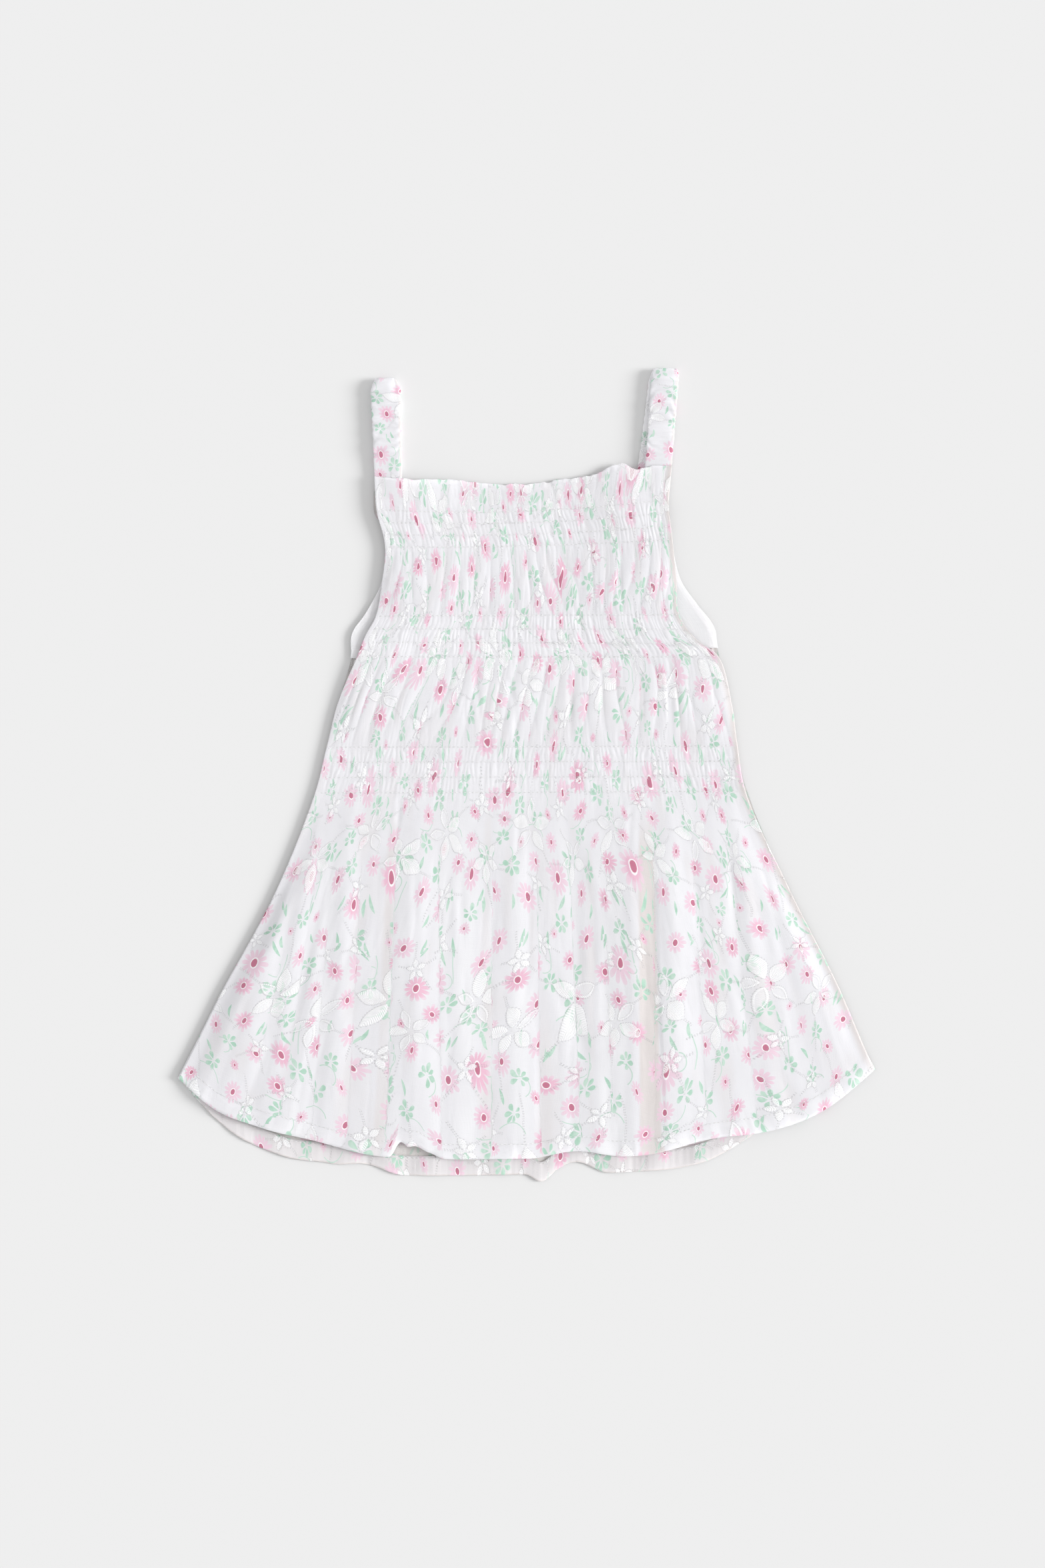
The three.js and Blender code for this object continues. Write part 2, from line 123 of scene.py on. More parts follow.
# Lines across the front from its folded frill to its hem: their ends, how far the armhole is
# cut in, how far and how squarely the line hangs, the mesh rows to the next line, the share
# of the skirt's folds, the lifts of its middle and sides, the width of the cloth that shows,
# and the width of the whole cut, on which the print is laid.
FRONT_LINES = Table(
    "name leftX leftY rightX rightY cut drop round rows puff fold lift edgeLift flat print",
    ("frill edge", -91, 178.6, 87.4, 185.4, 6, 6.6, 1.7, 15, 0, 0, 0.6, STRAP_LIFT, 316, 455),
    ("first band", -89.8, 159.4, 85.2, 165.6, 11, 4, 2, 20, 0, 0, 0, STRAP_LIFT, 316, 455),
    ("first band end", -84.6, 137, 87.7, 141.5, 14, 1.4, 2, 12, 0, 0, 0, FACING_LIFT, 320, 458),
    ("first puff", -86.6, 115.6, 90.1, 117.5, 16, 0, 2, 12, 2.6, 0, 0, FACING_LIFT, 326, 462),
    ("second band", -90.2, 95.6, 91.6, 96.6, 18, 0, 2, 11, 0, 0, 0, FACING_LIFT, 331, 466),
    ("armhole turn", -96.6, 83.6, 101, 82.6, 11, 0, 2, 11, 0, 0, 0, FACING_LIFT, 344, 470),
    ("second band end", -101.4, 71.4, 115.4, 71.2, 1, 0, 2, 14, 0, 0, 0, 1.1, 357, 476),
    ("second puff", -113, 43.6, 123, 44.6, 0, 0, 2, 14, 3, 0, 0, 0, 370, 484),
    ("third band", -119.8, 17, 126.8, 17.8, 0, 0, 2, 24, 0, 0, 0, 0, 381, 492),
    ("third band end", -126.8, -10.4, 131.6, -9.4, 0, 0, 2, 27, 0, 0, 0, 0, 392, 500),
    ("hip", -151, -71, 157, -66.2, 0, 6, 2.4, 22, 0, 1, 0.3, 0, 409, 522),
    ("skirt", -184.2, -132.2, 187.8, -127.4, 0, 22, 2.8, 21, 0, 1, 0.6, 0, 424, 545),
    ("hem stitching", -204.6, -172.2, 205, -167, 0, 51, 3.4, 5, 0, 0.6, 0.3, 0, 435, 566),
    ("hem", -208.8, -181, 209.2, -175.6, 0, 51, 3.4, 0, 0, 0.45, 0.2, 0, 437, 570),
)

# Lines across the back, whose inside faces up; pucker tells how hard its elastic rows draw in
BACK_LINES = Table(
    "name leftX leftY rightX rightY cut drop round rows pucker flat print",
    ("frill edge", -91.4, 170.6, 80, 171.4, 0, 0, 2, 8, 0.3, 340, 455),
    ("first row", -91, 157.4, 86, 157.6, 0, 0, 2, 8, 1, 340, 455),
    ("facing top", -84, 146, 86.4, 146, 0, 0, 2, 12, 1, 344, 458),
    ("first puff", -85.8, 118, 92, 118, 0, 0, 2, 10, 0.4, 350, 462),
    ("armhole", -95.6, 98, 101.6, 103.4, 0, 0, 2, 8, 1, 358, 466),
    ("armhole corner", -104.2, 85, 112.2, 89.4, 0, 0, 2, 8, 1, 370, 470),
    ("side seam", -105, 70.4, 114.6, 76.6, 0, 0, 2, 12, 1, 384, 476),
    ("second puff", -112.6, 43.6, 122.6, 44.6, 0, 0, 2, 16, 0.4, 398, 484),
    ("third band", -123, 2, 128.8, 3, 0, 0, 2, 26, 1, 415, 496),
    ("hip", -150, -71, 156, -66.2, 0, 6, 2.4, 18, 0.2, 440, 522),
    ("skirt", -183, -132.2, 186.4, -127.4, 0, 24, 3, 18, 0.2, 456, 545),
    ("hem stitching", -202.6, -177, 201.6, -170, 0, 57, 4.2, 6, 0.3, 468, 566),
    ("hem", -205.4, -185, 204, -178, 0, 57.4, 4.2, 0, 0.3, 470, 570),
)

# Skirt folds from left to right: where the valley at the left of each is at the bands and at the
# hem, its height, and how sharp its valleys are
SKIRT_FOLDS = Table(
    "topX hemX height sharp",
    (-129, -212, 3, 0), (-124, -182, 3, 0.1), (-118, -158, 3.4, 0.3), (-112, -134, 3.6, 0.1),
    (-96, -111, 3.2, 0.2), (-76, -87, 4.6, 1), (-53, -50, 3.6, 0.2), (-20, -21, 3.4, 0.6),
    (6, 10, 2.6, 0.5), (24, 36, 3.2, 0.6), (46, 54, 5, 0), (76, 78, 4.8, 0.6),
    (97, 113, 3.2, 0.2), (117, 146, 3.4, 0.6), (126, 172, 2.6, 0.1), (130, 192, 2, 0),
    (134, 213, 0, 0),
)

# Places where an edge stands up the page from its smooth line: middle, half length and rise
FRILL_WAVES = Table(
    "x reach rise", (-46, 30, 1.2), (-8, 34, -0.8), (32, 24, 0.8), (55, 17, 5.8), (65, 5, -0.7),
    (76, 14, 1.4))
FRONT_HEM_WAVES = Table(
    "x reach rise", (-186, 26, -3), (-128, 40, 3), (-76, 6.5, 7), (-69, 11, 6.5), (-60, 12, 4),
    (30, 30, 4), (110, 40, 4.6), (176, 40, -3))
BACK_HEM_WAVES = Table(
    "x reach rise", (-176, 30, -2), (-118, 30, 3.2), (-95, 22, 5), (9, 10, -4.4), (30, 20, 7),
    (118, 34, 2), (158, 56, 15))

# Creases laid in the front: their ends on the page, half width and depth
CREASES = Table(
    "fromX fromY toX toY width depth",
    (9.5, -108, 41, -176, 3.8, 1.3), (26.6, 106, 35.8, 79, 1.6, 1.2), (86, 74, 88, 19, 1.8, 1.4),
    (26.6, 56, 26.6, 17, 1.6, 1.2), (-75.8, -14, -77, -34, 1.6, 1.2), (-39, -58, -38, -104, 2.6, 1.2),
    (-66, -44, -66.4, -120, 2.4, 0.9), (40.3, -60, 41, -150, 2.4, 1), (7.2, -150, 8.4, -226, 2.4, 0.7),
    (-12, 60, -6, 40, 1.6, 1.1), (-6, 40, -7, 20, 1.6, 1), (122, -44, 125, -90, 2, 1.4),
    (-120, -60, -139, -150, 2.6, 1.2), (60, -70, 61, -190, 4, 0.8), (100, -40, 106, -120, 2.4, 1),
    (-30, 60, -27, 30, 1.6, 1), (55, 128, 57, 100, 1.4, 1), (-150, -150, -168, -200, 3, 1),
    (150, -110, 168, -190, 3, 1), (-4, -20, -6, -58, 1.6, 0.9), (64, -14, 60, -50, 1.8, 1),
)

# The open trough beside the fold at the right: its two sides and its depth down the page, how
# wide each wall is, and the depth at which nothing of the folds is left
TROUGH = Table(
    "y left right depth",
    (-2, 77, 78, 0), (-30, 70, 76, 2.4), (-60, 68.5, 77, 4), (-110, 67, 78.5, 5),
    (-150, 67.4, 80, 5.4), (-232, 68.6, 84, 5.4),
)
TROUGH_WALL = 1.4
TROUGH_EASE = 4.5
TROUGH_DEPTH = 70.0

# Strips of the skirt painted whiter, for double thickness and a painted highlight on a fold's
# crest, or warmer as painted shade in a fold: the middle at the bands and at the hem, the width
# at the hem, how white it is (below nothing for warm shade) and how soft its edges are
STRIPS = Table(
    "topX hemX width white edge",
    (-108, -146, 22, 0.5, 4), (-92, -122, 12, -0.3, 3), (-72, -82, 9, 0.5, 1.5),
    (-79, -91, 8, -0.85, 1.6), (-50, -52, 14, 0.45, 4), (-36, -38, 16, 0.8, 3), (-23, -24, 7, -0.4, 1.5),
    (-3, -4, 13, 0.7, 3), (9, 13, 9, -0.4, 2), (22, 30, 14, 0.4, 4), (38, 40, 6, -0.35, 1.5),
    (48, 54, 20, 0.75, 3), (71, 76, 15, -2, 1), (88, 93, 18, 0.6, 3), (108, 124, 12, -0.3, 4),
    (118, 140, 14, 0.5, 4), (124, 164, 8, -0.3, 3),
)
STRIP_TONE = 0.52

# The groove of a crease: how it fades to its ends, and the soft ridge beside it, in half widths
CREASE_TAPER = 0.6
RIDGE_SHARE = 0.25
RIDGE_AWAY = 1.9
RIDGE_SPREAD = 1.4

# How high folds are that differ from one to the next: in the middle, and how far from it
UNEVEN_MIDDLE = 0.55
UNEVEN_SPREAD = 0.45

# Rumples of the skirt: height, number across, where the noise starts and length down the cloth
RUMPLES = Table("height often start length", (0.17, 30, 17, 34), (0.07, 90, 0, 11))
# Soft creases drawn down the skirt: the same, and the width of their valleys
DRAWN_CREASES = Table(
    "height across start length valley", (0.14, 15, 5, 90, 0.12), (0.08, 48, 9, 34, 0.14))
# Small waves of the hem: height, number across and the row of the noise
HEM_RUMPLES = Table("height across row", (0.3, 64, 3.5), (0.18, 150, 8.5))
# Ripples of the frill's edge on the page: share, width and the row of the noise
FRILL_RIPPLES = Table("share width row", (1, 4.5, 3.3), (0.6, 2.1, 7.7))
# Folds that a band's puckers open into: puckers in each, how far they reach and their height
OPENED_FOLDS = Table("puckers reach height", (2, 7, 0.3), (3.4, 14, 0.32))
# Rows of an edge turned under: how far out, share of the height and cloth used from the fold
TURNED_UNDER = Table("out share gone", (0.25, 0.75, 0.3), (0.2, 0.3, 0.6), (-0.6, 0, 1.4))

# Straps: the side, the middle of the front half at its top and at the frill, how far the half
# behind stands aside there, the place of the fold up the page, the two widths, the share of the
# width that its rounded top loses, the place of its print, and its seed
STRAPS = Table(
    "side topX footX backShift topY topWidth footWidth rounding print seed",
    ("left", -84.4, -82.2, 0, 237.8, 18.6, 14.6, 0.42, (20, 265), 305),
    ("right", 83.6, 77.6, -5.6, 243.6, 17, 15, 0.16, (36, 250), 290),
)
STRAP_HEIGHTS = Table(
    "y lift wall", (163, OVER_BACK, STRAP_FOOT_WALL), (173, OVER_BACK, STRAP_FOOT_WALL),
    (186, 0, 2.0), (250, 0, 2.0))


class Noise:
    """Smooth seeded noise from -1 to 1 over two directions."""

    SIDE = 256

    def __init__(self, seed: int) -> None:
        """Draw the noise's values once from a seed."""
        self.values = np.random.default_rng(seed).uniform(-1, 1, (self.SIDE, self.SIDE))

    def at(self, a: Array, b: Union[Array, float] = 0.0) -> Array:
        """Read the noise, one step of it for each unit of a or b.

        Args:
            a: Places across.
            b: Places along.

        Returns:
            The noise at each place.
        """
        a, b = np.broadcast_arrays(np.asarray(a, float), np.asarray(b, float))
        i, j = np.floor(a).astype(int), np.floor(b).astype(int)
        fa, fb = smooth(a - i), smooth(b - j)
        side = self.SIDE
        here = self.values[i % side, j % side] * (1 - fa) + self.values[(i + 1) % side, j % side] * fa
        there = (self.values[i % side, (j + 1) % side] * (1 - fa)
                 + self.values[(i + 1) % side, (j + 1) % side] * fa)
        return here * (1 - fb) + there * fb


def smooth(x: Array, low: float = 0.0, high: float = 1.0) -> Array:
    """Ease from 0 at low to 1 at high."""
    x = np.clip((x - low) / (high - low), 0, 1)
    return x * x * (3 - 2 * x)


def ridges(turns: Array) -> Array:
    """Even rounded ridges: 0 in each valley, 1 on each crest."""
    return 0.5 - 0.5 * np.cos(2 * np.pi * turns)


def creased(turns: Array, softness: float) -> Array:
    """Broad soft folds with narrow valleys at whole turns."""
    return np.abs(np.sin(np.pi * turns)) ** softness


def leaning(turns: Array, noise: Noise) -> Array:
    """Flat folds that each lean their own way, with narrow valleys at whole turns.

    Args:
        turns: Places counted in folds.
        noise: The noise that says which way each leans.

    Returns:
        The height, up to 1.
    """
    whole = np.floor(turns)
    share = turns - whole
    share = np.where(noise.at(3.7 * whole + 0.5, 0.5) > 0, share, 1 - share)
    return share ** LEAN_RISE * (1 - share) ** LEAN_FALL / LEAN_PEAK


def wavering(noise: Noise, across: Array, v: Array, height: float, often: float, length: float,
             start: float = 0.0) -> Array:
    """Read a noise over the cloth.

    Args:
        noise: The noise.
        across: Places across, in shares of the cloth or counted in folds.
        v: Lengths of cloth down from the top edge.
        height: How far the result goes from 0.
        often: Steps of the noise for each unit across.
        length: Length of cloth down for each step of the noise.
        start: Where in the noise it starts.

    Returns:
        The result at each place.
    """
    return height * noise.at(across * often + start, v / length)


def uneven(noise: Noise, a: Array, b: Array) -> Array:
    """Heights that differ from fold to fold, up to 1."""
    return UNEVEN_MIDDLE + UNEVEN_SPREAD * noise.at(a, b)


def valleys(noise: Noise, a: Array, b: Array, width: float) -> Array:
    """Narrow valleys that wander where a noise crosses zero: 0 in them and 1 between."""
    return 1 - np.exp(-(noise.at(a, b) / width) ** 2)


class EdgeCurve:
    """A smooth centripetal curve through the ends of a panel's lines."""

    def __init__(self, x: Array, y: Array) -> None:
        """Keep the curve's points, with one more beyond each end.

        Args:
            x: The points' places across the page.
            y: Their places up the page.
        """
        points = np.stack([x, y], axis=-1).astype(float)
        self.count = len(points)
        self.points = np.vstack([2 * points[0] - points[1], points, 2 * points[-1] - points[-2]])

    def at(self, share: Array) -> Array:
        """Read points at shares of the way along, as an array ending in x and y.

        Args:
            share: Shares of the way, counted evenly from point to point.

        Returns:
            The points.
        """
        place = (self.count - 1) * np.asarray(share, float)
        i = np.clip(np.floor(place).astype(int), 0, self.count - 2)
        w = (place - i)[..., None]
        p0, p1, p2, p3 = (self.points[i + k] for k in range(4))
        d0, d1, d2 = (np.maximum(np.linalg.norm(b - a, axis=-1, keepdims=True), 1e-9) ** 0.5
                      for a, b in ((p0, p1), (p1, p2), (p2, p3)))
        m1 = ((p1 - p0) / d0 - (p2 - p0) / (d0 + d1) + (p2 - p1) / d1) * d1
        m2 = ((p2 - p1) / d1 - (p3 - p1) / (d1 + d2) + (p3 - p2) / d2) * d1
        square, cube = -3 * p1 + 3 * p2 - 2 * m1 - m2, 2 * p1 - 2 * p2 + m1 + m2
        return p1 + m1 * w + square * w ** 2 + cube * w ** 3


def wave_rise(waves: Table, x: Array) -> Array:
    """Total rise of an edge at x, from its table of waves."""
    away = np.minimum(np.abs(x[..., None] - waves.column("x")) / waves.column("reach"), 1)
    return (waves.column("rise") * np.cos(away * np.pi / 2) ** 2).sum(-1)


@dataclass
class Panel:
    """The plan of a cut panel as it lies, and its places on the flat cloth."""

    lines: Table
    hem_waves: Table
    top_waves: Table = field(default_factory=lambda: Table("x reach rise", (0, 1, 0)))

    def __post_init__(self) -> None:
        """Lay the side curves and measure the cloth's length down the middle."""
        read = self.lines.column
        self.left = EdgeCurve(read("leftX"), read("leftY"))
        self.right = EdgeCurve(read("rightX"), read("rightY"))
        self.last = len(self.lines) - 1
        self.fine = np.linspace(0, self.last, 40 * self.last + 1)
        _, y = self.plan(np.full_like(self.fine, 0.5), self.fine)
        self.run = y[0] - y

    def plan(self, cloth: Array, t: Array) -> tuple[Array, Array]:
        """Place points seen from above.

        Args:
            cloth, t: Places on the cloth.

        Returns:
            The x and y of each point.
        """
        read = self.lines.between
        left, right = self.left.at(t / self.last), self.right.at(t / self.last)
        width, cut = right[..., 0] - left[..., 0], read("cut", t)
        seam = (1 - cloth) * (width + cut)
        edge = seam * (seam + CUT_SPREAD) / (seam + CUT_SPREAD + cut)
        whole = (width + cut) * (width + cut + CUT_SPREAD) / (width + 2 * cut + CUT_SPREAD)
        across = 1 - edge / whole
        x = left[..., 0] + across * width
        y = left[..., 1] + across * (right[..., 1] - left[..., 1])
        y = y - read("drop", t) * (1 - np.abs(2 * across - 1) ** read("round", t))
        y = y + np.clip(1 - t, 0, 1) * wave_rise(self.top_waves, x)
        y = y + np.clip(t - (self.last - 2), 0, 1) * wave_rise(self.hem_waves, x)
        return x, y

    def page_width(self, t: Array) -> Array:
        """Width of the panel as it lies, from side edge to side edge."""
        return self.right.at(t / self.last)[..., 0] - self.left.at(t / self.last)[..., 0]

    def inward(self, x: Array, t: Array) -> Array:
        """Distance from the nearer side edge."""
        left, right = self.left.at(t / self.last), self.right.at(t / self.last)
        return np.minimum(x - left[..., 0], right[..., 0] - x)

    def down(self, t: Array) -> Array:
        """Length of cloth from the top edge to a row, down the middle."""
        return np.interp(t, self.fine, self.run)

    def cut_area(self, turned: float) -> float:
        """Area of the flat cut.

        Args:
            turned: Length of cloth turned under at the two ends together.

        Returns:
            The area in square metres.
        """
        width = self.lines.between("flat", self.fine)
        face = float(((width[1:] + width[:-1]) / 2 * np.diff(self.run)).sum())
        return (face + turned * float(width[0] + width[-1]) / 2) * MM * MM

    def row_numbers(self) -> Array:
        """Row numbers of the mesh, close together where the lines ask for it.

        Returns:
            The numbers, rising.
        """
        steps = self.lines.column("rows").astype(int)
        parts = [i + np.arange(n) / n for i, n in enumerate(steps) if n]
        return np.concatenate(parts + [np.array([float(self.last)])])


# Printed and sewn motifs


class Motif(Enum):
    """The kinds of motif on the cloth, each with its own attribute on the mesh."""

    DAISY = "daisy"
    FAN = "fan"
    BLADE = "blade"
    STEM = "stem"
    BLOSSOM = "blossom"


# One sprig of the print, charted on the flat cloth: places from the big daisy's
# middle, the turn from upright to the left in degrees, and each motif's full width and height.
SPRIG = Table(
    "kind x y turn width height",
    (Motif.DAISY, 0, 0, 0, 17.6, 23), (Motif.DAISY, -2.4, -20.5, 22, 14.6, 16),
    (Motif.DAISY, -17.6, -5, 8, 16.4, 15.6), (Motif.DAISY, 30, 8, -6, 12.6, 17),
    (Motif.DAISY, 49, -17, 14, 8.6, 12), (Motif.DAISY, 53, 19, -4, 15.4, 18.4),
    (Motif.DAISY, 19, 25, 0, 6, 8),
    (Motif.FAN, 13.6, -12, 168, 13, 18), (Motif.FAN, 42, -1, 150, 13, 16.4),
    (Motif.FAN, 31, -22, -20, 13, 17), (Motif.FAN, 2, 25, 160, 11, 15),
    (Motif.BLADE, 9, 9, 30, 2.2, 12), (Motif.BLADE, 12.4, 12, 12, 2, 11),
    (Motif.BLADE, 23, -7, -160, 2, 9), (Motif.BLADE, 66, 22, 172, 2.2, 11),
    (Motif.BLADE, 41, 17, 20, 2, 9), (Motif.BLADE, 69, 20, 156, 1.9, 10),
    (Motif.STEM, 9.4, 1.6, -110, 9, 9), (Motif.STEM, 39, -8, -64, 13, 13),
    (Motif.STEM, 28, -40, 20, 24, 24), (Motif.STEM, -26, 4, -14, 84, 84),
)
SPRIG_WIDTH = 83.0
SPRIG_HEIGHT = 59.0
# The rows of sprigs down the cloth: how far each is moved across, and its way up
SPRIG_ROWS = Table("shift up", (0, 1), (41, 1), (12, -1), (56, 1), (22, -1))

# White embroidery over the print, on its own larger repeat: five-petalled flowers
BLOSSOMS = Table(
    "kind x y turn width height",
    (Motif.BLOSSOM, 0, 0, 8, 44, 46), (Motif.BLOSSOM, 41, -19, 30, 40, 36),
    (Motif.BLOSSOM, 36, 20, 20, 16, 17), (Motif.BLOSSOM, 3, -39, -14, 17, 17),
    (Motif.BLOSSOM, -28, 34, 40, 15, 16),
)
BLOSSOM_WIDTH = 88.0
BLOSSOM_HEIGHT = 104.0
BLOSSOM_ROWS = Table("shift up", (0, 1), (37, 1))


class Print:
    """Motifs laid over the flat cloth, and the places of a mesh's corners within them."""

    REACH = 520.0
    NEAR = 58.0
    CHUNK = 1500
    SEED = 11
    UNEVEN_TURN = 9.0
    UNEVEN_SIZE = 0.1
    UNEVEN_PLACE = 2.4

    def __init__(self, shift: Span = (0.0, 0.0)) -> None:
        """Repeat the charts over the cloth.

        Args:
            shift: How far the print is moved across and along the cloth, in millimetres.
        """
        self.placed: dict[Motif, Array] = {}
        rows: dict[Motif, list] = {kind: [] for kind in Motif}
        jitter = np.random.default_rng(self.SEED)
        self._repeat(rows, SPRIG, SPRIG_ROWS, SPRIG_WIDTH, SPRIG_HEIGHT, shift, jitter)
        self._repeat(rows, BLOSSOMS, BLOSSOM_ROWS, BLOSSOM_WIDTH, BLOSSOM_HEIGHT, shift, jitter)
        for kind, found in rows.items():
            self.placed[kind] = np.array(found)

    def _repeat(self, rows: dict, chart: Table, order: Table, width: float, height: float,
                shift: Span, jitter: np.random.Generator) -> None:
        """Place one chart again and again.

        Args:
            rows: Where to keep, for each kind, the x, y, turn, half width, half height, way up
                and seed of every motif.
            chart: The motifs of one repeat.
            order: How far each row of repeats is moved, and its way up.
            width: Width of the repeat.
            height: Height of the repeat.
            shift: How far the whole is moved across and along.
            jitter: What makes the motifs uneven.
        """
        spacings, ups = order.column("shift"), order.column("up")
        for j in range(int(-self.REACH / height) - 1, int(self.REACH / height) + 2):
            up, across = ups[j % len(order)], spacings[j % len(order)]
            for i in range(int(-self.REACH / width) - 1, int(self.REACH / width) + 2):
                for spot in chart.each():
                    kind, half, tall = spot["kind"], spot["width"] / 2, spot["height"] / 2
                    turn = math.radians(spot["turn"] + self.UNEVEN_TURN * jitter.uniform(-1, 1))
                    if up < 0:
                        turn = self._mirrored(kind, turn, half)
                    grown = 1 + self.UNEVEN_SIZE * jitter.uniform(-1, 1)
                    x = i * width + across + spot["x"] + shift[0]
                    x += self.UNEVEN_PLACE * jitter.uniform(-1, 1)
                    y = -j * height + up * spot["y"] + shift[1]
                    y += self.UNEVEN_PLACE * jitter.uniform(-1, 1)
                    rows[kind].append((x, y, turn, half * grown, tall * grown, up, jitter.random()))

    @staticmethod
    def _mirrored(kind: Motif, turn: float, half: float) -> float:
        """Turn a motif in a row that is drawn the other way up.

        Args:
            kind: The kind of motif.
            turn: Its turn where the row is upright, in radians.
            half: Its half width.

        Returns:
            The turn in radians.
        """
        if kind is Motif.DAISY:
            return -turn
        if kind is Motif.STEM:
            return -turn - min(Stem.WIDEST, Stem.LONGEST / half)
        return math.pi - turn

    def places(self, kind: Motif, centres: Array, corners: Array) -> Array:
        """Find where the corners of each face lie in the motif nearest to the face.

        Args:
            kind: The kind of motif.
            centres: Flat places of the faces' middles, n by 2.
            corners: Flat places of the faces' corners, n by corners by 2.

        Returns:
            For each corner its place across and along the motif in half widths, and the
            motif's seed, or its half width for motifs drawn in millimetres.
        """
        placed = self.placed[kind]
        out = np.empty(corners.shape[:2] + (3,), np.float32)
        for start in range(0, len(centres), self.CHUNK):
            part = slice(start, start + self.CHUNK)
            low, high = centres[part].min(0) - self.NEAR, centres[part].max(0) + self.NEAR
            spots = placed[((placed[:, :2] > low) & (placed[:, :2] < high)).all(1)]
            spot = spots[self._distance(kind, spots, centres[part]).argmin(1)]
            dx = corners[part, :, 0] - spot[:, None, 0]
            dy = corners[part, :, 1] - spot[:, None, 1]
            cos, sin = np.cos(spot[:, 2])[:, None], np.sin(spot[:, 2])[:, None]
            out[part, :, 0] = (dx * cos + dy * sin) / spot[:, 3, None]
            out[part, :, 1] = (dy * cos - dx * sin) / spot[:, 4, None]
            by_size = kind in (Motif.STEM, Motif.BLOSSOM)
            out[part, :, 2] = (spot[:, 3] if by_size else spot[:, 6])[:, None]
        return out

    @staticmethod
    def _distance(kind: Motif, spots: Array, points: Array) -> Array:
        """Measure from each point to each motif.

        Args:
            kind: The kind of motif.
            spots: The motifs, as they are kept.
            points: Flat places, n by 2.

        Returns:
            Distances, points by motifs: in half widths, or for stems and blades in millimetres.
        """
        dx = points[:, None, 0] - spots[None, :, 0]
        dy = points[:, None, 1] - spots[None, :, 1]
        cos, sin = np.cos(spots[:, 2]), np.sin(spots[:, 2])
        x, y = dx * cos + dy * sin, dy * cos - dx * sin
        if kind is Motif.STEM:
            angle = np.arctan2(y, x)
            reach = np.minimum(Stem.WIDEST, Stem.LONGEST / spots[:, 3])
            angle = np.clip(np.where(angle < -1, angle + 2 * np.pi, angle), 0, reach)
            return np.hypot(x - spots[:, 3] * np.cos(angle), y - spots[:, 3] * np.sin(angle))
        if kind is Motif.BLADE:
            return np.hypot(x, y - spots[:, 4])
        return np.hypot(x / spots[:, 3], y / spots[:, 4])


# Shader effects


class Graph:
    """Adds nodes to a tree and joins them."""

    MIX_INPUTS = (0, 6, 7)
    MIX_OUTPUT = 2

    def __init__(self, tree: bpy.types.NodeTree) -> None:
        """Keep the tree."""
        self.tree = tree

    def feed(self, socket: Plug, value: Socket) -> None:
        """Link an input to an output, or set its constant.

        Args:
            socket: The input.
            value: The output to link to it, or the constant.
        """
        if isinstance(value, Plug):
            self.tree.links.new(value, socket)
        else:
            socket.default_value = value

    def node(self, kind: str, feeds: dict[Union[str, int], Socket],
             **settings: Union[str, bpy.types.NodeTree]) -> bpy.types.Node:
        """Add a node, set it up and feed its inputs.

        Args:
            kind: The node's type.
            feeds: What feeds each input, by name or number.
            settings: The node's own settings.

        Returns:
            The node.
        """
        node = self.tree.nodes.new(kind)
        for name, value in settings.items():
            setattr(node, name, value)
        for name, value in feeds.items():
            self.feed(node.inputs[name], value)
        return node

    def math(self, operation: str, *values: Socket) -> Plug:
        """Add one step of arithmetic."""
        return self.node("ShaderNodeMath", dict(enumerate(values)), operation=operation).outputs[0]

    def times(self, first: Socket, second: Socket) -> Plug:
        """Multiply two values."""
        return self.math("MULTIPLY", first, second)

    def plus(self, first: Socket, second: Socket) -> Plug:
        """Add two values."""
        return self.math("ADD", first, second)

    def less(self, first: Socket, second: Socket) -> Plug:
        """Take the second value from the first."""
        return self.math("SUBTRACT", first, second)

    def line(self, value: Socket, gain: Socket, start: Socket) -> Plug:
        """Multiply a value by a gain and add it to a start."""
        return self.math("MULTIPLY_ADD", value, gain, start)

    def step(self, value: Socket, low: Socket, high: Socket) -> Plug:
        """Ease from 0 at low to 1 at high, with low above high for a fall."""
        feeds = dict(enumerate((value, low, high)))
        return self.node("ShaderNodeMapRange", feeds, interpolation_type="SMOOTHSTEP").outputs[0]

    def mix(self, share: Socket, first: Socket, second: Socket) -> Plug:
        """Blend two colours, with this share of the second."""
        feeds = dict(zip(self.MIX_INPUTS, (share, first, second)))
        return self.node("ShaderNodeMix", feeds, data_type="RGBA").outputs[self.MIX_OUTPUT]

    def split(self, vector: Socket) -> tuple[Plug, ...]:
        """Part a vector into x, y and z."""
        return tuple(self.node("ShaderNodeSeparateXYZ", {"Vector": vector}).outputs)

    def join(self, x: Socket, y: Socket, z: Socket = 0.0) -> Plug:
        """Make a vector from x, y and z."""
        return self.node("ShaderNodeCombineXYZ", {"X": x, "Y": y, "Z": z}).outputs[0]

    def radius(self, x: Socket, y: Socket) -> Plug:
        """Length of a flat vector."""
        return self.math("SQRT", self.plus(self.times(x, x), self.times(y, y)))

    def noise(self, vector: Socket, scale: float, detail: float = 2.0) -> Plug:
        """Smooth noise from 0 to 1 over a place."""
        node = self.node("ShaderNodeTexNoise", {"Vector": vector, "Scale": scale, "Detail": detail})
        return node.outputs["Fac"]

    def chance(self, value: Socket) -> Plug:
        """Draw a fixed number from 0 to 1 for each value."""
        return self.node("ShaderNodeTexWhiteNoise", {"W": value}, noise_dimensions="1D").outputs["Value"]

    def attribute(self, name: str) -> Plug:
        """Read a vector kept on the mesh."""
        return self.node("ShaderNodeAttribute", {}, attribute_name=name).outputs["Vector"]


